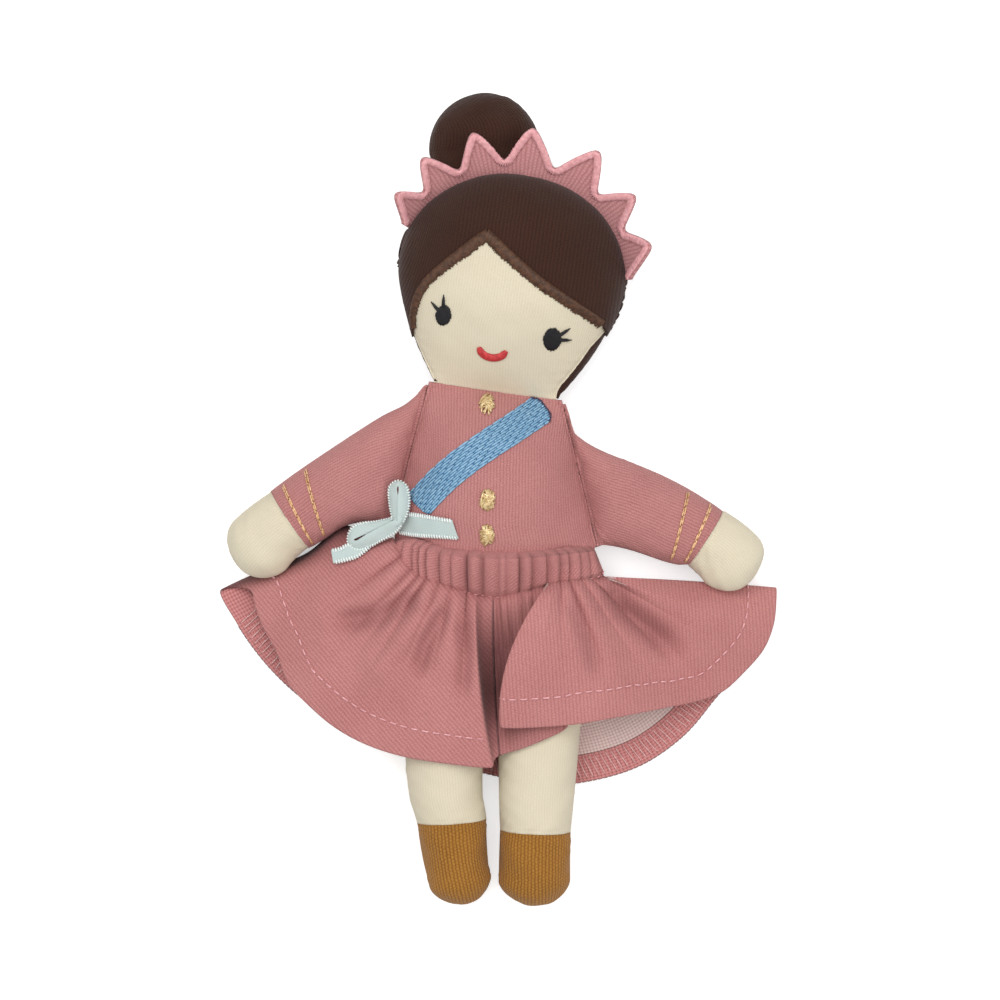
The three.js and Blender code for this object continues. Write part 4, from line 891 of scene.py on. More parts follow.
# The cut edge of the hem is overlocked on the inside: slanted pale threads over the turned-up band, which
# shows on the back layer, and a grey thread along the fold.
OVERLOCK_PITCH = 1.3
EDGE_STITCH = (1.1, 0.05, 0.16, 0.05)
seen = np.where((station > 38.5) & (station < 53.0))[0]
column = np.searchsorted(even, np.arange(even[seen[0]], even[seen[-1]], OVERLOCK_PITCH))
ends = []
for depth, shift in ((5.4, 3), (0.4, 0)):
    row_at = np.argmin(np.abs(hem_edge[:, column + shift] - depth), axis=0)
    ends.append(skirt[row_at, column + shift] - skirt_up[row_at, column + shift] * 0.48)
points, faces = threads(*ends, -skirt_up[-2, column], 0.13, 0.1, 5, 5)
pale_thread = thread("pale_thread", linear(232, 190, 186), linear(206, 156, 154), 0.4)
new_piece("hem_overlock", points, faces, "torso", pale_thread, "satin_thread")
grey_thread = thread("grey_thread", linear(160, 146, 146), linear(120, 108, 110), 0.4)
path, up = skirt[-1, seen] - skirt_up[-1, seen] * 0.2, -skirt_up[-1, seen]
points, faces = stitch_line(path, up, *EDGE_STITCH)
new_piece("hem_edge", points, faces, "torso", grey_thread, "satin_thread")


# The head is two cloths sewn round its outline: the face of cream jersey in front and dark brown jersey
# behind. Its own frame starts at the middle of the neck seam and is turned a little. At the right of the
# picture the seam lies further forward, so the hair shows beside the cheek.
HEAD_LENGTH = 43.4
HEAD_HALF = 22.2
HEAD_WIDEST = 23.5
HEAD_NECK = 12.3
FACE = 13.0
HAIR_STRIP = 1.4


def turned(points, angle, shift):
    """Points turned about the vertical, then shifted in plan."""
    cos, sin = np.cos(angle), np.sin(angle)
    x, y = points[..., 0], points[..., 1]
    return np.stack([x * cos - y * sin + shift[0], x * sin + y * cos + shift[1], points[..., 2]], -1)


def on_head(points):
    return turned(points, -HEAD_TILT, NECK)


def head_half(y):
    """Half width of the head: a jaw that narrows to the neck under a round top."""
    over = HEAD_HALF * np.sqrt(np.clip(1 - ((y - HEAD_WIDEST) / (HEAD_LENGTH - HEAD_WIDEST)) ** 2, 0, 1))
    under = HEAD_HALF - (HEAD_HALF - HEAD_NECK) * np.clip((HEAD_WIDEST - y) / HEAD_WIDEST, 0, 1) ** 1.75
    return np.where(y > HEAD_WIDEST, over, under)


def head_section(y):
    half = head_half(y)
    full = np.where(y > HEAD_WIDEST, half / HEAD_HALF, swell(y, HEAD_WIDEST))
    return {"a": np.stack([half, y], -1), "b": np.stack([-half, y], -1), "mid": SEAM_Z + 0 * y,
            "front": FACE * full, "back": BACK * full, "round": ROUND}


def head_front(plan, offset):
    """Points of the front of the head, in its own frame, above places in plan."""
    section = head_section(plan[..., 1])
    half = section["a"][..., 0] + offset
    fullness = dome(plan[..., 0] / np.maximum(half, 1e-6)) ** ROUND
    z = SEAM_Z + EDGE * (1 - np.exp(-fullness / 0.03)) + offset + section["front"] * fullness
    return np.concatenate([plan, z[..., None]], -1)


def uneven_head(points):
    """The same uneven filling under all that lies on the head."""
    lift = 0.22 * wander(points[..., :2], 13.0, 71) + 0.07 * wander(points[..., :2], 5.0, 72)
    lift = lift * np.clip((points[..., 2] - SEAM_Z) / 5.0, -1, 1)
    return points + np.stack([0 * lift, 0 * lift, lift], -1)


HAIR_BROWN = linear(68, 42, 31)
HAIR_DARK = linear(34, 19, 14)
hair_cloth = cloth("hair_jersey", HAIR_BROWN, HAIR_DARK, 0.72, 0.08, contrast=0.5)
rows = np.concatenate([np.linspace(SEAM_GAP / 2, HEAD_WIDEST, 60)[:-1],
                       HEAD_WIDEST + (HEAD_LENGTH - HEAD_WIDEST) * np.sin(np.linspace(0, np.pi / 2, 44))])
section = head_section(rows)
strip = HAIR_STRIP * swell(rows, 3.0) * np.interp(rows, [11, 15], [1, 0.2])
strip_left = 0.2 * swell(rows, 3.0) * np.interp(rows, [9, 12], [1, 0.2])
first_angle = np.arccos(np.clip(1 - strip / np.maximum(section["a"][:, 0], 1e-3), -1, 1))[:, None]
last_angle = np.pi - np.arccos(np.clip(1 - strip_left / np.maximum(section["a"][:, 0], 1e-3), -1, 1))[:, None]
steps = np.linspace(0, 1, 2 * COLUMNS)[None]
phi = first_angle + (last_angle - first_angle) * (steps - 0.12 * np.sin(2 * np.pi * steps) / np.pi)
for name, angles, material, slot, nodes in (
    ("face", phi, cream_cloth, "cream_cloth", ("face_panel", "head_stuffing")),
    ("hair_back", last_angle + (2 * np.pi + first_angle - last_angle) * steps, hair_cloth, "hair_cloth",
     ("hair_back",)),
):
    grid = ring_points(section, angles)
    across, along = both_lengths(grid)
    grid = uneven_head(grid)
    sides = [across, across[:, -1:] - across]
    near_neck = (along < 3.0) & (grid[..., 0] < 0)
    grid = pressed(grid, sides if name == "face" else [along, *sides], along, 21, 0.3, 0.08, 0.0)
    if name == "face":
        grid[..., 2] = np.where(near_neck, np.maximum(grid[..., 2], SEAM_Z), grid[..., 2])
    else:
        grid[..., 2] = np.where(near_neck, np.minimum(grid[..., 2], SEAM_Z - 0.1), grid[..., 2])
    grid[..., 2] = np.maximum(grid[..., 2], TABLE_GAP)
    grid[-1] = grid[-1].mean(0)
    if name == "face":
        grid = with_allowance(grid)
    across, along = both_lengths(grid)
    weave = np.stack([across - across[:, -1:] / 2, along], -1)
    piece = new_piece(name, on_head(grid), grid_faces(*grid.shape[:2]), "head", material, slot, weave)
    thick(piece)
    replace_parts(piece, *nodes)
    if name == "face":
        face_grid = on_head(grid)


# The hair is a second cloth laid on the upper face from the hairline to the crown of the head, with a band
# of brown satin stitches along the hairline.
HAIRLINE_LEFT = np.array([
    (-5.8, 29.0), (-10.6, 24.4), (-14.1, 21.2), (-17.0, 17.8), (-18.4, 13.2), (-18.0, 8.2)])
HAIRLINE_RIGHT = np.array([
    (-5.8, 29.0), (-2.4, 26.3), (1.3, 23.8), (6.3, 20.9), (12.6, 18.1), (18.0, 16.0), (20.4, 14.9)])
HAIR_CLOTH = 0.55
HAIR_THICK = 0.5
HAIR_ENDS = (8.2, 14.9)
hair_left, hair_right = smooth_line(HAIRLINE_LEFT, 90), smooth_line(HAIRLINE_RIGHT, 110)
hairline = np.concatenate([hair_left[::-1], hair_right[1:]])
angle = np.linspace(np.arctan2(HAIR_ENDS[0] - HEAD_WIDEST, -HEAD_HALF),
                    np.arctan2(HAIR_ENDS[1] - HEAD_WIDEST, HEAD_HALF) - 2 * np.pi, len(hairline))
rim_y = HEAD_WIDEST + (HEAD_LENGTH - HEAD_WIDEST + 0.6) * np.sin(angle)
over = rim_y >= HEAD_WIDEST
low_y = np.where(angle < -np.pi, *HAIR_ENDS)
rim_y = np.where(over, rim_y, HEAD_WIDEST - (HEAD_WIDEST - low_y) * np.clip(
    -np.sin(angle) / np.where(angle < -np.pi, np.sin(-angle[0]), -np.sin(angle[-1])), 0, 1))
rim_out = 0.6 * np.clip((rim_y - low_y) / 12 + 0.4, 0, 1)
rim_x = np.where(over, (HEAD_HALF + 0.6) * np.cos(angle),
                 np.sign(np.cos(angle)) * (head_half(rim_y) + rim_out))
rim = np.stack([rim_x, rim_y], -1)
share = np.sin(np.linspace(0, np.pi / 2, 70))[:, None, None]
plan = rim * share + hairline * (1 - share)
hair = uneven_head(head_front(plan, HAIR_CLOTH))
hair = pressed(hair, [], path_length(hair, 1), 41, uneven=0.06)
turned_in = np.concatenate([rim, 0 * rim[:, :1] + SEAM_Z - 0.1], -1)
hair = np.concatenate([hair, turned_in[None]])
fan = np.clip((-12 - hair[..., 0]) / 8, 0, 1)
weave = np.stack([hair[..., 0] - fan * 0.35 * (hair[..., 1] - 14), hair[..., 1]], -1)
piece = new_piece("hair_front", on_head(hair), grid_faces(*hair.shape[:2])[:, ::-1], "head", hair_cloth,
                  "hair_cloth", weave)
thick(piece, HAIR_THICK)
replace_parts(piece, "hair_front")

brown_thread = thread("brown_thread", linear(94, 63, 43), linear(60, 38, 27), 0.35)
chance = np.random.default_rng(9)
edge_parts = []
for line, side, narrow in ((hair_left, -1.0, 0.5), (hair_right, 1.0, 1.1)):
    line = smooth_line(line, int(path_length(line, 0)[-1] / 0.21))[:-8]
    way = unit(np.gradient(line, axis=0))
    down = np.stack([way[:, 1], -way[:, 0]], -1) * side
    down = unit(down + np.array([0, -4.0]) * np.exp(-np.arange(len(line)) / 4.0)[:, None])
    above = np.linspace(1.7, narrow, len(line))[:, None]
    ragged = chance.uniform(-0.22, 0.22, len(line))[:, None]
    start = uneven_head(head_front(line - down * above + way * 0.2, HAIR_CLOTH + 0.02))
    end = uneven_head(head_front(line + down * (0.95 + ragged) - way * 0.1, 0.05))
    up = unit(np.array([0, 0, 1.0]) + np.concatenate([line, 0 * line[:, :1]], 1) * [0.02, 0.01, 0])
    edge_parts.append(threads(start, end, up, 0.16, chance.uniform(0.3, 0.42, len(line)), 6, 6))
points, faces = joined(edge_parts)
edging = new_piece("hair_edging", on_head(points), faces, "head", brown_thread, "hair_thread")
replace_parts(edging, "hair_edging")


# The face is embroidered: two filled ovals with two lashes each in black, and a smile in red. The stitches
# of each shape lie side by side and run into the cloth at its outline.
EYES = {
    "eye_left": ((-12.1, 12.9), (1.48, 2.1), ((97, 2.9), (140, 2.6))),
    "eye_right": ((9.7, 11.2), (1.72, 2.3), ((40, 3.0), (8, 2.7))),
}
MOUTH = (-1.7, 5.6)
EYE_STITCHES = 17
black_thread = thread("black_thread", linear(26, 24, 28), linear(10, 9, 12), 0.3)
red_thread = thread("red_thread", linear(208, 66, 66), linear(168, 38, 44), 0.5)
for name, (centre, half, lashes) in EYES.items():
    across = np.linspace(-0.97, 0.97, EYE_STITCHES)
    reach = np.sqrt(1 - across**2)
    start, end = (np.stack([across * half[0], tall * chance.uniform(0.95, 1.06, EYE_STITCHES)], -1) + centre
                  for tall in (reach * half[1], -reach * half[1]))
    for turn, length in lashes:
        way = np.array([np.cos(np.radians(turn)), np.sin(np.radians(turn))])
        beside = np.array([-way[1], way[0]])
        for aside, shorter in ((-0.2, 0.5), (0.0, 0.0), (0.2, 0.7)):
            foot = np.array(centre) + way * half[1] * 0.55 + beside * aside * 1.3
            start = np.concatenate([start, [foot]])
            end = np.concatenate([end, [foot + way * (length - shorter) - beside * aside * 0.8]])
    (start, up), (end, _) = (on_cloth(face_grid, on_head(np.column_stack([place, 0 * place[:, 0]]))[:, :2])
                             for place in (start, end))
    points, faces = threads(start + up * 0.02, end + up * 0.02, up, 0.17, 0.26, 8)
    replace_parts(new_piece(name, points, faces, "head", black_thread, "black_thread"), name)
turn = np.radians(np.linspace(192, 348, 34))
arc = np.stack([np.cos(turn) * 2.75, np.sin(turn) * 2.0 + 0.9], -1) + MOUTH + [0.05, 1.6]
out = np.stack([np.cos(turn) * 1.5, np.sin(turn) * 2.8], -1)
half_height = 0.72 * np.interp(np.arange(34), [0, 4, 29, 33], [0.6, 1, 1, 0.6])
out *= (half_height / np.linalg.norm(out, axis=1))[:, None]
inner, outer = arc - out, arc + out
(start, up), (end, _) = (on_cloth(face_grid, on_head(np.column_stack([place, 0 * place[:, 0]]))[:, :2])
                         for place in (inner, outer))
points, faces = threads(start, end, up, 0.19, 0.3, 7)
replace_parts(new_piece("mouth", points, faces, "head", red_thread, "red_thread"), "mouth")


# The crown is a stiffened band of ribbed knit with seven points, sewn behind the hair round the top of the
# head. It leans out over the bun. Paler satin stitches bind its zigzag edge.
CROWN_ENDS = (-74.0, 85.0)
CROWN_TIPS = (-64.5, -46.7, -23.7, 0.2, 28.1, 50.8, 71.7)
CROWN_HEIGHT = 11.0
CROWN_REACH = (9.4, 10.0, 10.2, 10.4, 10.9, 10.4, 9.6)
CROWN_BAND = 1.2
CROWN_LIFT = 1.4
CROWN_THICK = 0.9
valleys = [(a + b) / 2 for a, b in zip(CROWN_TIPS[:-1], CROWN_TIPS[1:])]
zigzag = sorted([*zip(CROWN_TIPS, CROWN_REACH)] + [(low, CROWN_BAND) for low in (*valleys, *CROWN_ENDS)])
zigzag = np.array(zigzag)


def crown_point(angle, height, out):
    """A point of the crown, in the head's frame: degrees from the top of the head, distance along the
    leaning cloth, and distance in front of its middle. It stands 36 degrees from flat at the top and 67 at
    the ends."""
    turn = np.radians(angle)
    lean = np.radians(36 + 31 * (angle / CROWN_ENDS[1]) ** 2)
    rim = 1 / np.hypot(np.sin(turn) / HEAD_HALF, np.cos(turn) / (HEAD_LENGTH - HEAD_WIDEST))
    height = height + 0 * angle
    wave = 0.35 * np.sin(np.radians(angle * 9.0)) * height / CROWN_HEIGHT
    reach = rim + 0.8 + height * np.cos(lean) - (out + wave) * np.sin(lean)
    z = SEAM_Z + CROWN_LIFT + height * np.sin(lean) + (out + wave) * np.cos(lean)
    return np.stack([reach * np.sin(turn), HEAD_WIDEST + reach * np.cos(turn), z], -1)


angles = np.linspace(*CROWN_ENDS, 640)
blunt = np.hanning(37) / np.hanning(37).sum()
edge = np.convolve(np.pad(np.interp(angles, zigzag[:, 0], zigzag[:, 1]), 18, "edge"), blunt, "valid")
share = np.linspace(0, 1, 26)[:, None]
height = -2.2 + (edge + 2.2) * share
grid = crown_point(angles[None] + 0 * share, height, 0.4)
across = path_length(grid[0], 0)[None] + 0 * share
weave = np.stack([across, height], -1)
crown_cloth = cloth("crown_knit", linear(220, 160, 160), linear(164, 102, 104), 0.7, 0.08, step=0.7,
                    contrast=0.55)
piece = new_piece("crown", on_head(grid), grid_faces(*grid.shape[:2])[:, ::-1], "head", crown_cloth,
                  "crown_cloth", weave)
thick(piece, CROWN_THICK)
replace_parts(piece, "crown")

satin_thread = thread("satin_thread", linear(240, 180, 182), linear(216, 150, 154), 0.5)
flank = crown_point(angles, edge, 0.55)
run = path_length(flank, 0)
even_angles = np.interp(np.arange(0.1, run[-1], 0.2), run, angles)
even_edge = np.interp(even_angles, angles, edge)
flank = crown_point(even_angles, even_edge, 0.55)
up = unit(crown_point(even_angles, even_edge, 1.55) - flank)
inward = unit(np.cross(up, np.gradient(flank, axis=0)))
inward *= np.sign((inward * (crown_point(even_angles, even_edge - 1.0, 0.55) - flank)).sum())
ragged = chance.uniform(-0.1, 0.1, len(flank))[:, None]
points, faces = threads(flank - inward * (0.35 + ragged), flank + inward * (1.25 + ragged), up, 0.15,
                        chance.uniform(0.22, 0.32, len(flank)), 6, 6)
edging = new_piece("crown_edging", on_head(points), faces, "head", satin_thread, "satin_thread")
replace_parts(edging, "crown_edging")


# The bun is a small stuffed ball of the dark jersey, gathered and sewn into the top seam of the head, where
# it flops on a seam of its own.
BUN_AT = -7.9
BUN_RADIUS = 11.2
BUN_CENTRE = 5.7
BUN_DEPTH = 6.4
BUN_Z = 5.9
BUN_LEAN = np.radians(11.0)
BUN_PLEATS = 17


def bun_section(y):
    """Rows of the bun from its seam up: a circle in plan, pinched at the seam, that sinks to the table."""
    circle = np.sqrt(np.clip(BUN_RADIUS**2 - (y - BUN_CENTRE) ** 2, 0, None))
    half = circle * (0.72 + 0.28 * swell(y, BUN_CENTRE))
    full = swell(y, 12.0) * np.where(y > BUN_CENTRE, circle / BUN_RADIUS, 1.0)
    sink = smooth_step(np.clip(y / 6.0, 0, 1))
    return {"a": np.stack([half, y], -1), "b": np.stack([-half, y], -1), "round": ROUND,
            "mid": SEAM_Z + (BUN_Z - SEAM_Z) * sink, "front": BUN_DEPTH * full, "back": BUN_DEPTH * full}


bun_rows = np.concatenate([np.linspace(SEAM_GAP / 2, BUN_CENTRE, 22)[:-1],
                           BUN_CENTRE + BUN_RADIUS * np.sin(np.linspace(0, np.pi / 2, 40))])
grid = ring_points(bun_section(bun_rows), np.linspace(0, 2 * np.pi, 2 * COLUMNS + 1))
across, along = both_lengths(grid)
pleats = 0.28 * np.sin(np.linspace(0, 2 * np.pi, 2 * COLUMNS + 1) * BUN_PLEATS) * np.exp(-along / 3.5)
seam = np.minimum(np.abs(across - across[:, -1:] / 2), np.minimum(across, across[:, -1:] - across))
grid = pressed(grid, [seam], along, 51, 0.3, 0.08, 0.2) + grid_normals(grid) * pleats[..., None]
grid[:, -1] = grid[:, 0]
grid[-1] = grid[-1].mean(0)
grid[..., 2] = np.maximum(grid[..., 2], TABLE_GAP)
bun_top = HEAD_WIDEST + (HEAD_LENGTH - HEAD_WIDEST) * np.sqrt(1 - (BUN_AT / HEAD_HALF) ** 2)
grid = on_head(turned(grid, BUN_LEAN, (BUN_AT, bun_top + SEAM_GAP)))
weave = np.stack([across, along], -1)
piece = new_piece("bun", grid, grid_faces(*grid.shape[:2]), "bun", hair_cloth, "hair_cloth", weave)
thick(piece)
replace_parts(piece, "bun_cover", "bun_stuffing")


# Each arm is a stuffed sleeve of the rose twill that ends in a round hand of cream jersey, with two lines
# of gold thread round the front of the cuff. Each leg is cream jersey with a shoe of ribbed mustard knit.
ARM = {"depth": 5.8, "rise": 12.0, "heights": (SEAM_Z, 7.3, 6.5)}
LEG = {"depth": LEG_DEPTH, "rise": LEG_RISE, "heights": (SEAM_Z, 7.6, 4.4),
       "pinch": ((0.0, 0.5, 0.2), (0.0, 0.5, 0.2))}
LIMBS = {
    "arm_left": {**ARM, "seam": (SHOULDERS[0] * 0.97 + ARMPITS[0] * 0.03, ARMPITS[0]), "out": -1.0,
                 "cuff": (-41.2, -7.9), "tip": (-51.6, -17.6), "half": 6.9, "wrist": 6.7, "hand": 7.2,
                 "pinch": ((1.0, 0.16, 0.12), (1.5, 0.55, 0.22))},
    "arm_right": {**ARM, "seam": (ARMPITS[1], SHOULDERS[1] * 0.97 + ARMPITS[1] * 0.03), "out": 1.0,
                  "cuff": (42.3, -11.6), "tip": (51.0, -20.5), "half": 6.4, "wrist": 6.6, "hand": 7.1,
                  "pinch": ((-0.6, 0.75, 0.25), (5.4, 0.08, 0.45)), "heights": (SEAM_Z, 7.6, 9.2)},
    "leg_left": {**LEG, "seam": ((-19.4, HIP_Y - 0.2), (-0.35, HIP_Y - 0.2)), "out": 0.0,
                 "cuff": (-8.7, -68.4), "tip": (-6.2, -85.7), "half": 7.0, "wrist": 6.9, "hand": 6.3,
                 "pinch": ((-1.0, 0.75, 0.3), (1.0, 0.75, 0.3))},
    "leg_right": {**LEG, "seam": ((0.35, HIP_Y - 0.2), (19.4, HIP_Y - 0.2)), "out": 0.0,
                  "cuff": (8.1, -70.4), "tip": (8.0, -86.0), "half": 7.1, "wrist": 7.1, "hand": 7.2},
}
PAST_CUFF = 0.96
LIMB_ROWS = 90
BRAID_STITCH = (2.0, -0.1, 0.17, 0.16)
BRAIDS = (2.6, 6.6)


def limb_section(spec, t):
    """Rows of a limb from its seam (t = 0) by its cuff (1) to its tip (2). The middle is a Catmull-Rom curve
    through the three. The half width turns from the seam's to one square to the cuff, then rounds off. Each
    side is drawn in by a pinch: its depth, its place and its width."""
    a, b = (np.array(end, float) for end in spec["seam"])
    across = np.array([-(b - a)[1], (b - a)[0]]) / np.linalg.norm(b - a)
    shift = across * np.sign(across[0] * spec["out"]) * SEAM_GAP / 2
    a, b = a + shift, b + shift
    root, cuff, tip = (a + b) / 2, np.array(spec["cuff"]), np.array(spec["tip"])
    f = np.where(t < 1, t, t - 1)[:, None]
    first = (t < 1)[:, None]
    p0, p1, p2, p3 = (np.where(first, one, two) for one, two in
                      ((root, root), (root, cuff), (cuff, tip), (tip, tip * 2 - cuff)))
    v0, v1 = (p2 - p0) / 2, (p3 - p1) / 2
    centre = (2 * p1 - 2 * p2 + v0 + v1) * f**3 + (3 * p2 - 3 * p1 - 2 * v0 - v1) * f**2 + v0 * f + p1
    way = unit(3 * (2 * p1 - 2 * p2 + v0 + v1) * f**2 + 2 * (3 * p2 - 3 * p1 - 2 * v0 - v1) * f + v0)
    half_seam = (b - a) / 2
    square = np.stack([-way[:, 1], way[:, 0]], -1)
    square = square * np.sign(square @ half_seam)[:, None]
    at_cuff = (tip - root) / np.linalg.norm(tip - root)
    at_cuff = np.array([-at_cuff[1], at_cuff[0]])
    at_cuff = at_cuff * np.sign(at_cuff @ half_seam) * spec["half"]
    upper, lower = np.linalg.norm(cuff - root), np.linalg.norm(tip - cuff)
    closing = np.sqrt(swell(np.maximum((2 - t) * lower, 0), spec["hand"]))
    beyond = (spec["wrist"] + (spec["hand"] - spec["wrist"]) * np.clip(2 * (t - 1), 0, 1)) * closing
    before = half_seam * (1 - t[:, None]) + at_cuff * t[:, None]
    half = np.where((t <= 1)[:, None], before, square * beyond[:, None])
    full = spec["depth"] * swell(t * upper, spec["rise"]) * np.where(t > 1, closing * PAST_CUFF, 1)
    mid = np.interp(t, (0, 1, 2), spec["heights"])
    inward = unit(half)
    ends = np.clip(t * 28, 0, 1) * np.clip((1 - t) * 8, 0, 1)
    drawn = [inward * (deep * np.exp(-(((t - place) / wide) ** 2)) * ends)[:, None]
             for deep, place, wide in spec["pinch"]]
    return {"a": centre - half + drawn[0], "b": centre + half - drawn[1], "mid": mid, "front": full,
            "back": full, "round": ROUND}


shoe_cloth = cloth("shoe_knit", linear(180, 126, 58), linear(112, 71, 25), 0.72, 0.12, step=0.7,
                   contrast=0.75)
gold_thread = thread("gold_thread", linear(238, 196, 148), linear(190, 136, 86), 0.8, 0.2, 0.38)
ring = np.linspace(0, 2 * np.pi, 2 * COLUMNS + 1)
for body, spec in LIMBS.items():
    kind, side = body.split("_")
    names = {"arm": ("sleeve", "hand"), "leg": ("leg", "shoe")}[kind]
    materials = {"arm": (jacket_cloth, cream_cloth), "leg": (cream_cloth, shoe_cloth)}[kind]
    slots = {"arm": ("rose_cloth", "cream_cloth"), "leg": ("cream_cloth", "shoe_cloth")}[kind]
    upper = np.linalg.norm(np.mean(spec["seam"], 0) - spec["cuff"])
    lower = np.linalg.norm(np.subtract(spec["tip"], spec["cuff"]))
    round_from = 2 - spec["hand"] / lower
    rows = (np.concatenate([np.linspace(0, 1, LIMB_ROWS), [1.0]]),
            np.concatenate([[1.0], np.linspace(1.0, round_from, 24)[:-1],
                            2 - (1 - np.sin(np.linspace(0, np.pi / 2, 36))) * spec["hand"] / lower]))
    for number, (name, material, slot, t) in enumerate(zip(names, materials, slots, rows)):
        grid = ring_points(limb_section(spec, t), ring)
        across, along = both_lengths(grid)
        seam = np.minimum(np.abs(across - across[:, -1:] / 2), np.minimum(across, across[:, -1:] - across))
        cuff_edge = along[-1:] - along if number == 0 else along
        joins = [seam, along, cuff_edge] if number == 0 else [seam, cuff_edge]
        grid = pressed(grid, joins, along + across * 0.5, 61 + number, 0.3, 0.09, 0.17)
        closed_end = 0 if number else -1
        centre = grid[closed_end].mean(0)
        grid[closed_end] = centre + (grid[closed_end] - centre) * 0.72
        up = grid_normals(grid)
        cuff_grid = grid
        if number:
            grid[-1] = grid[-1].mean(0)
        else:
            grid = with_allowance(grid)
            across, along = both_lengths(grid)
        grid[:, -1] = grid[:, 0]
        grid[..., 2] = np.maximum(grid[..., 2], TABLE_GAP)
        weave = np.stack([across - across[:, -1:] / 4, along], -1)
        piece = new_piece(f"{name}_{side}", grid, grid_faces(*grid.shape[:2]), body, material, slot, weave)
        thick(piece)
        nodes = (f"{name}_{side}",) if number else (f"{name}_{side}", f"{kind}_stuffing_{side}")
        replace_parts(piece, *nodes)
        if kind == "arm" and number == 0:
            for count, distance in enumerate(BRAIDS):
                row = int(round((1 - distance / upper) * (LIMB_ROWS - 1)))
                front = slice(9, COLUMNS - 8)
                path, facing = cuff_grid[row, front], up[row, front]
                parts = []
                for aside, first in ((-0.15, 0), (0.15, 2)):
                    down = (cuff_grid[row + 1, front] - path) * aside / (upper / (LIMB_ROWS - 1))
                    moved = path + down + facing * 0.1
                    parts.append(stitch_line(moved[first:], facing[first:], *BRAID_STITCH))
                braid = f"cuff_braid_{side}_{count + 1}"
                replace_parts(new_piece(braid, *joined(parts), body, gold_thread, "gold_thread"), braid)


# The bow is narrow aqua satin ribbon with looped edges, tied at the lower end of the sash: a small knot, two
# loops whose sides lean together, and two cut tails.
KNOT = np.array([-19.2, -8.3, 14.6])
RIBBON_THICK = 0.22
AQUA = linear(212, 223, 219)
AQUA_DARK = linear(152, 172, 170)
ribbon_satin = cloth("ribbon_satin", AQUA, AQUA_DARK, 0.34, 0.02, step=0.3, fuzz=0.25, contrast=0.25)
picot_thread = thread("picot_thread", linear(250, 252, 250), linear(222, 232, 228), 0.5)


def ribbon_piece(name, grid, lengths):
    """A piece of the ribbon, thickened about its middle."""
    piece = new_piece(name, grid, grid_faces(*grid.shape[:2]), None, ribbon_satin, "ribbon",
                      np.stack(lengths, -1))
    thick(piece, RIBBON_THICK).modifiers["cloth"].offset = 0.0
    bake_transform(piece)
    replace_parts(piece, name)


def ribbon(name, first, second, bulge=0.3, looped=((0, 1),)):
    """A ribbon between two edges, each given by a few points. Its middle bulges out, and the looped edges,
    which are columns with their neighbours, carry small loops of thread."""
    edges = [smooth_line(np.array(edge, float), 90) for edge in (first, second)]
    share = np.linspace(0, 1, 13)[None, :, None]
    grid = edges[0][:, None] * (1 - share) + edges[1][:, None] * share
    facing = grid_normals(grid)
    facing *= np.sign(facing[..., 2].sum())
    grid = grid + facing * bulge * 4 * share * (1 - share)
    grid[..., 2] += 0.12 * wander(grid, 3.0, 91)
    across_run, along = both_lengths(grid)
    ribbon_piece(name, grid, [across_run, along])
    parts = []
    for column, inner in looped:
        places = np.arange(0.2, along[-1, column] - 0.2, 0.55)
        foot, beside, up = (at_places(places, along[:, column], values)
                            for values in (grid[:, column], grid[:, inner], facing[:, column]))
        out = unit(foot - beside)
        parts.append(threads(foot - out * 0.7 + up * 0.12, foot + out * 0.3, up, 0.17, 0.2, 5, 5))
    points, faces = joined(parts)
    picots = new_piece(name + "_picots", points, faces, None, picot_thread, "ribbon")
    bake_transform(picots)


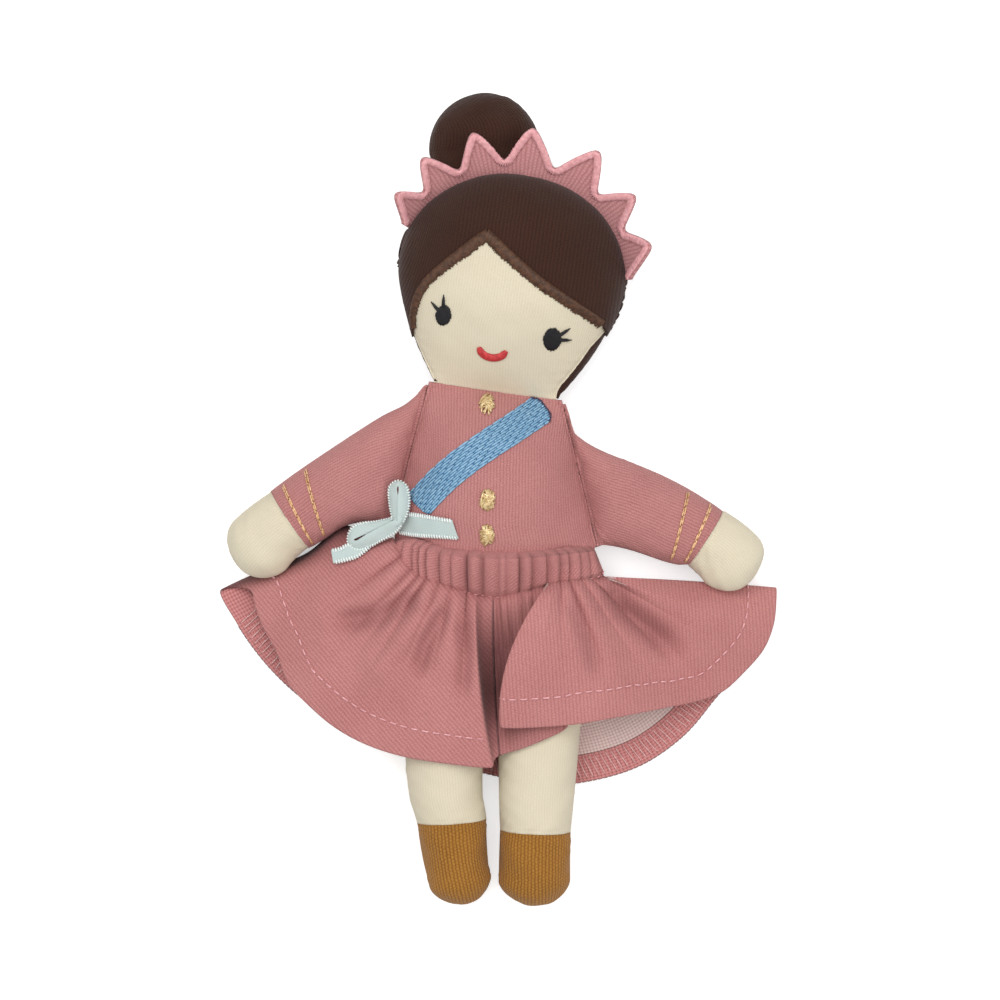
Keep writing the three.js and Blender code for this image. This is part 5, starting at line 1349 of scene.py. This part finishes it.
ribbon("bow_loop_upper",
       [(-20.3, -8.0, 14.4), (-20.9, -4.7, 14.2), (-21.0, -1.7, 14.2), (-19.9, -0.4, 14.6),
        (-18.4, -0.4, 14.8), (-17.3, -1.5, 14.8), (-16.9, -4.0, 14.8), (-17.3, -6.6, 14.8),
        (-18.4, -8.6, 14.8)],
       [(-19.0, -7.6, 15.4), (-19.0, -4.7, 16.2), (-19.2, -3.2, 16.2), (-19.4, -1.9, 16.2),
        (-19.2, -1.2, 16.2), (-19.0, -1.9, 16.2), (-19.2, -3.2, 16.3), (-19.3, -5.0, 16.4),
        (-19.3, -8.0, 15.8)])
ribbon("bow_loop_lower",
       [(-20.1, -7.5, 14.4), (-23.7, -8.2, 13.8), (-27.3, -8.7, 13.4), (-28.9, -10.1, 13.2),
        (-29.2, -12.4, 13.0), (-27.7, -13.9, 13.2), (-25.4, -13.6, 13.6), (-22.7, -12.2, 14.0),
        (-19.9, -10.7, 14.6), (-18.2, -8.8, 15.2)],
       [(-20.6, -8.6, 15.2), (-23.7, -9.9, 14.9), (-26.0, -10.9, 14.7), (-27.6, -11.6, 14.5),
        (-28.0, -11.9, 14.4), (-27.4, -12.0, 14.5), (-25.8, -11.0, 15.0), (-23.5, -9.7, 15.4),
        (-21.1, -8.5, 15.9), (-19.6, -7.9, 15.9)])
ribbon("bow_tail_left",
       [(-26.3, -12.1, 13.6), (-29.0, -12.6, 13.3), (-30.8, -13.5, 13.0), (-32.6, -13.9, 12.7)],
       [(-24.9, -13.5, 13.8), (-27.2, -15.3, 13.7), (-29.6, -16.1, 13.4), (-32.1, -16.6, 13.2)],
       0.1, ((0, 1), (-1, -2)))
edges = []
for edge in (((-18.6, -6.7), (-15.5, -6.7), (-12.2, -7.2), (-8.2, -7.8)),
             ((-18.6, -10.6), (-16.1, -11.0), (-12.8, -11.2), (-7.0, -11.5))):
    spots, up = on_cloth(torso_grids["jacket_front"], np.array(edge))
    edges.append(spots + up * 0.6)
ribbon("bow_tail_right", *edges, 0.15, ((0, 1), (-1, -2)))
turn = np.radians(np.linspace(0, 360, 41))
wrap = np.stack([np.cos(turn) * 1.15, 0 * turn, np.sin(turn) * 1.4], -1)
width = np.linspace(-1, 1, 9)[:, None, None]
crimp = 1 + 0.1 * np.cos(turn * 5)[None, :, None] - 0.25 * width**2
knot = wrap[None] * crimp + np.array([0.5, 0.9, 0.0]) * width * 0.95 + KNOT
ribbon_piece("bow_knot", knot, [path_length(knot, 0), path_length(knot, 1)])
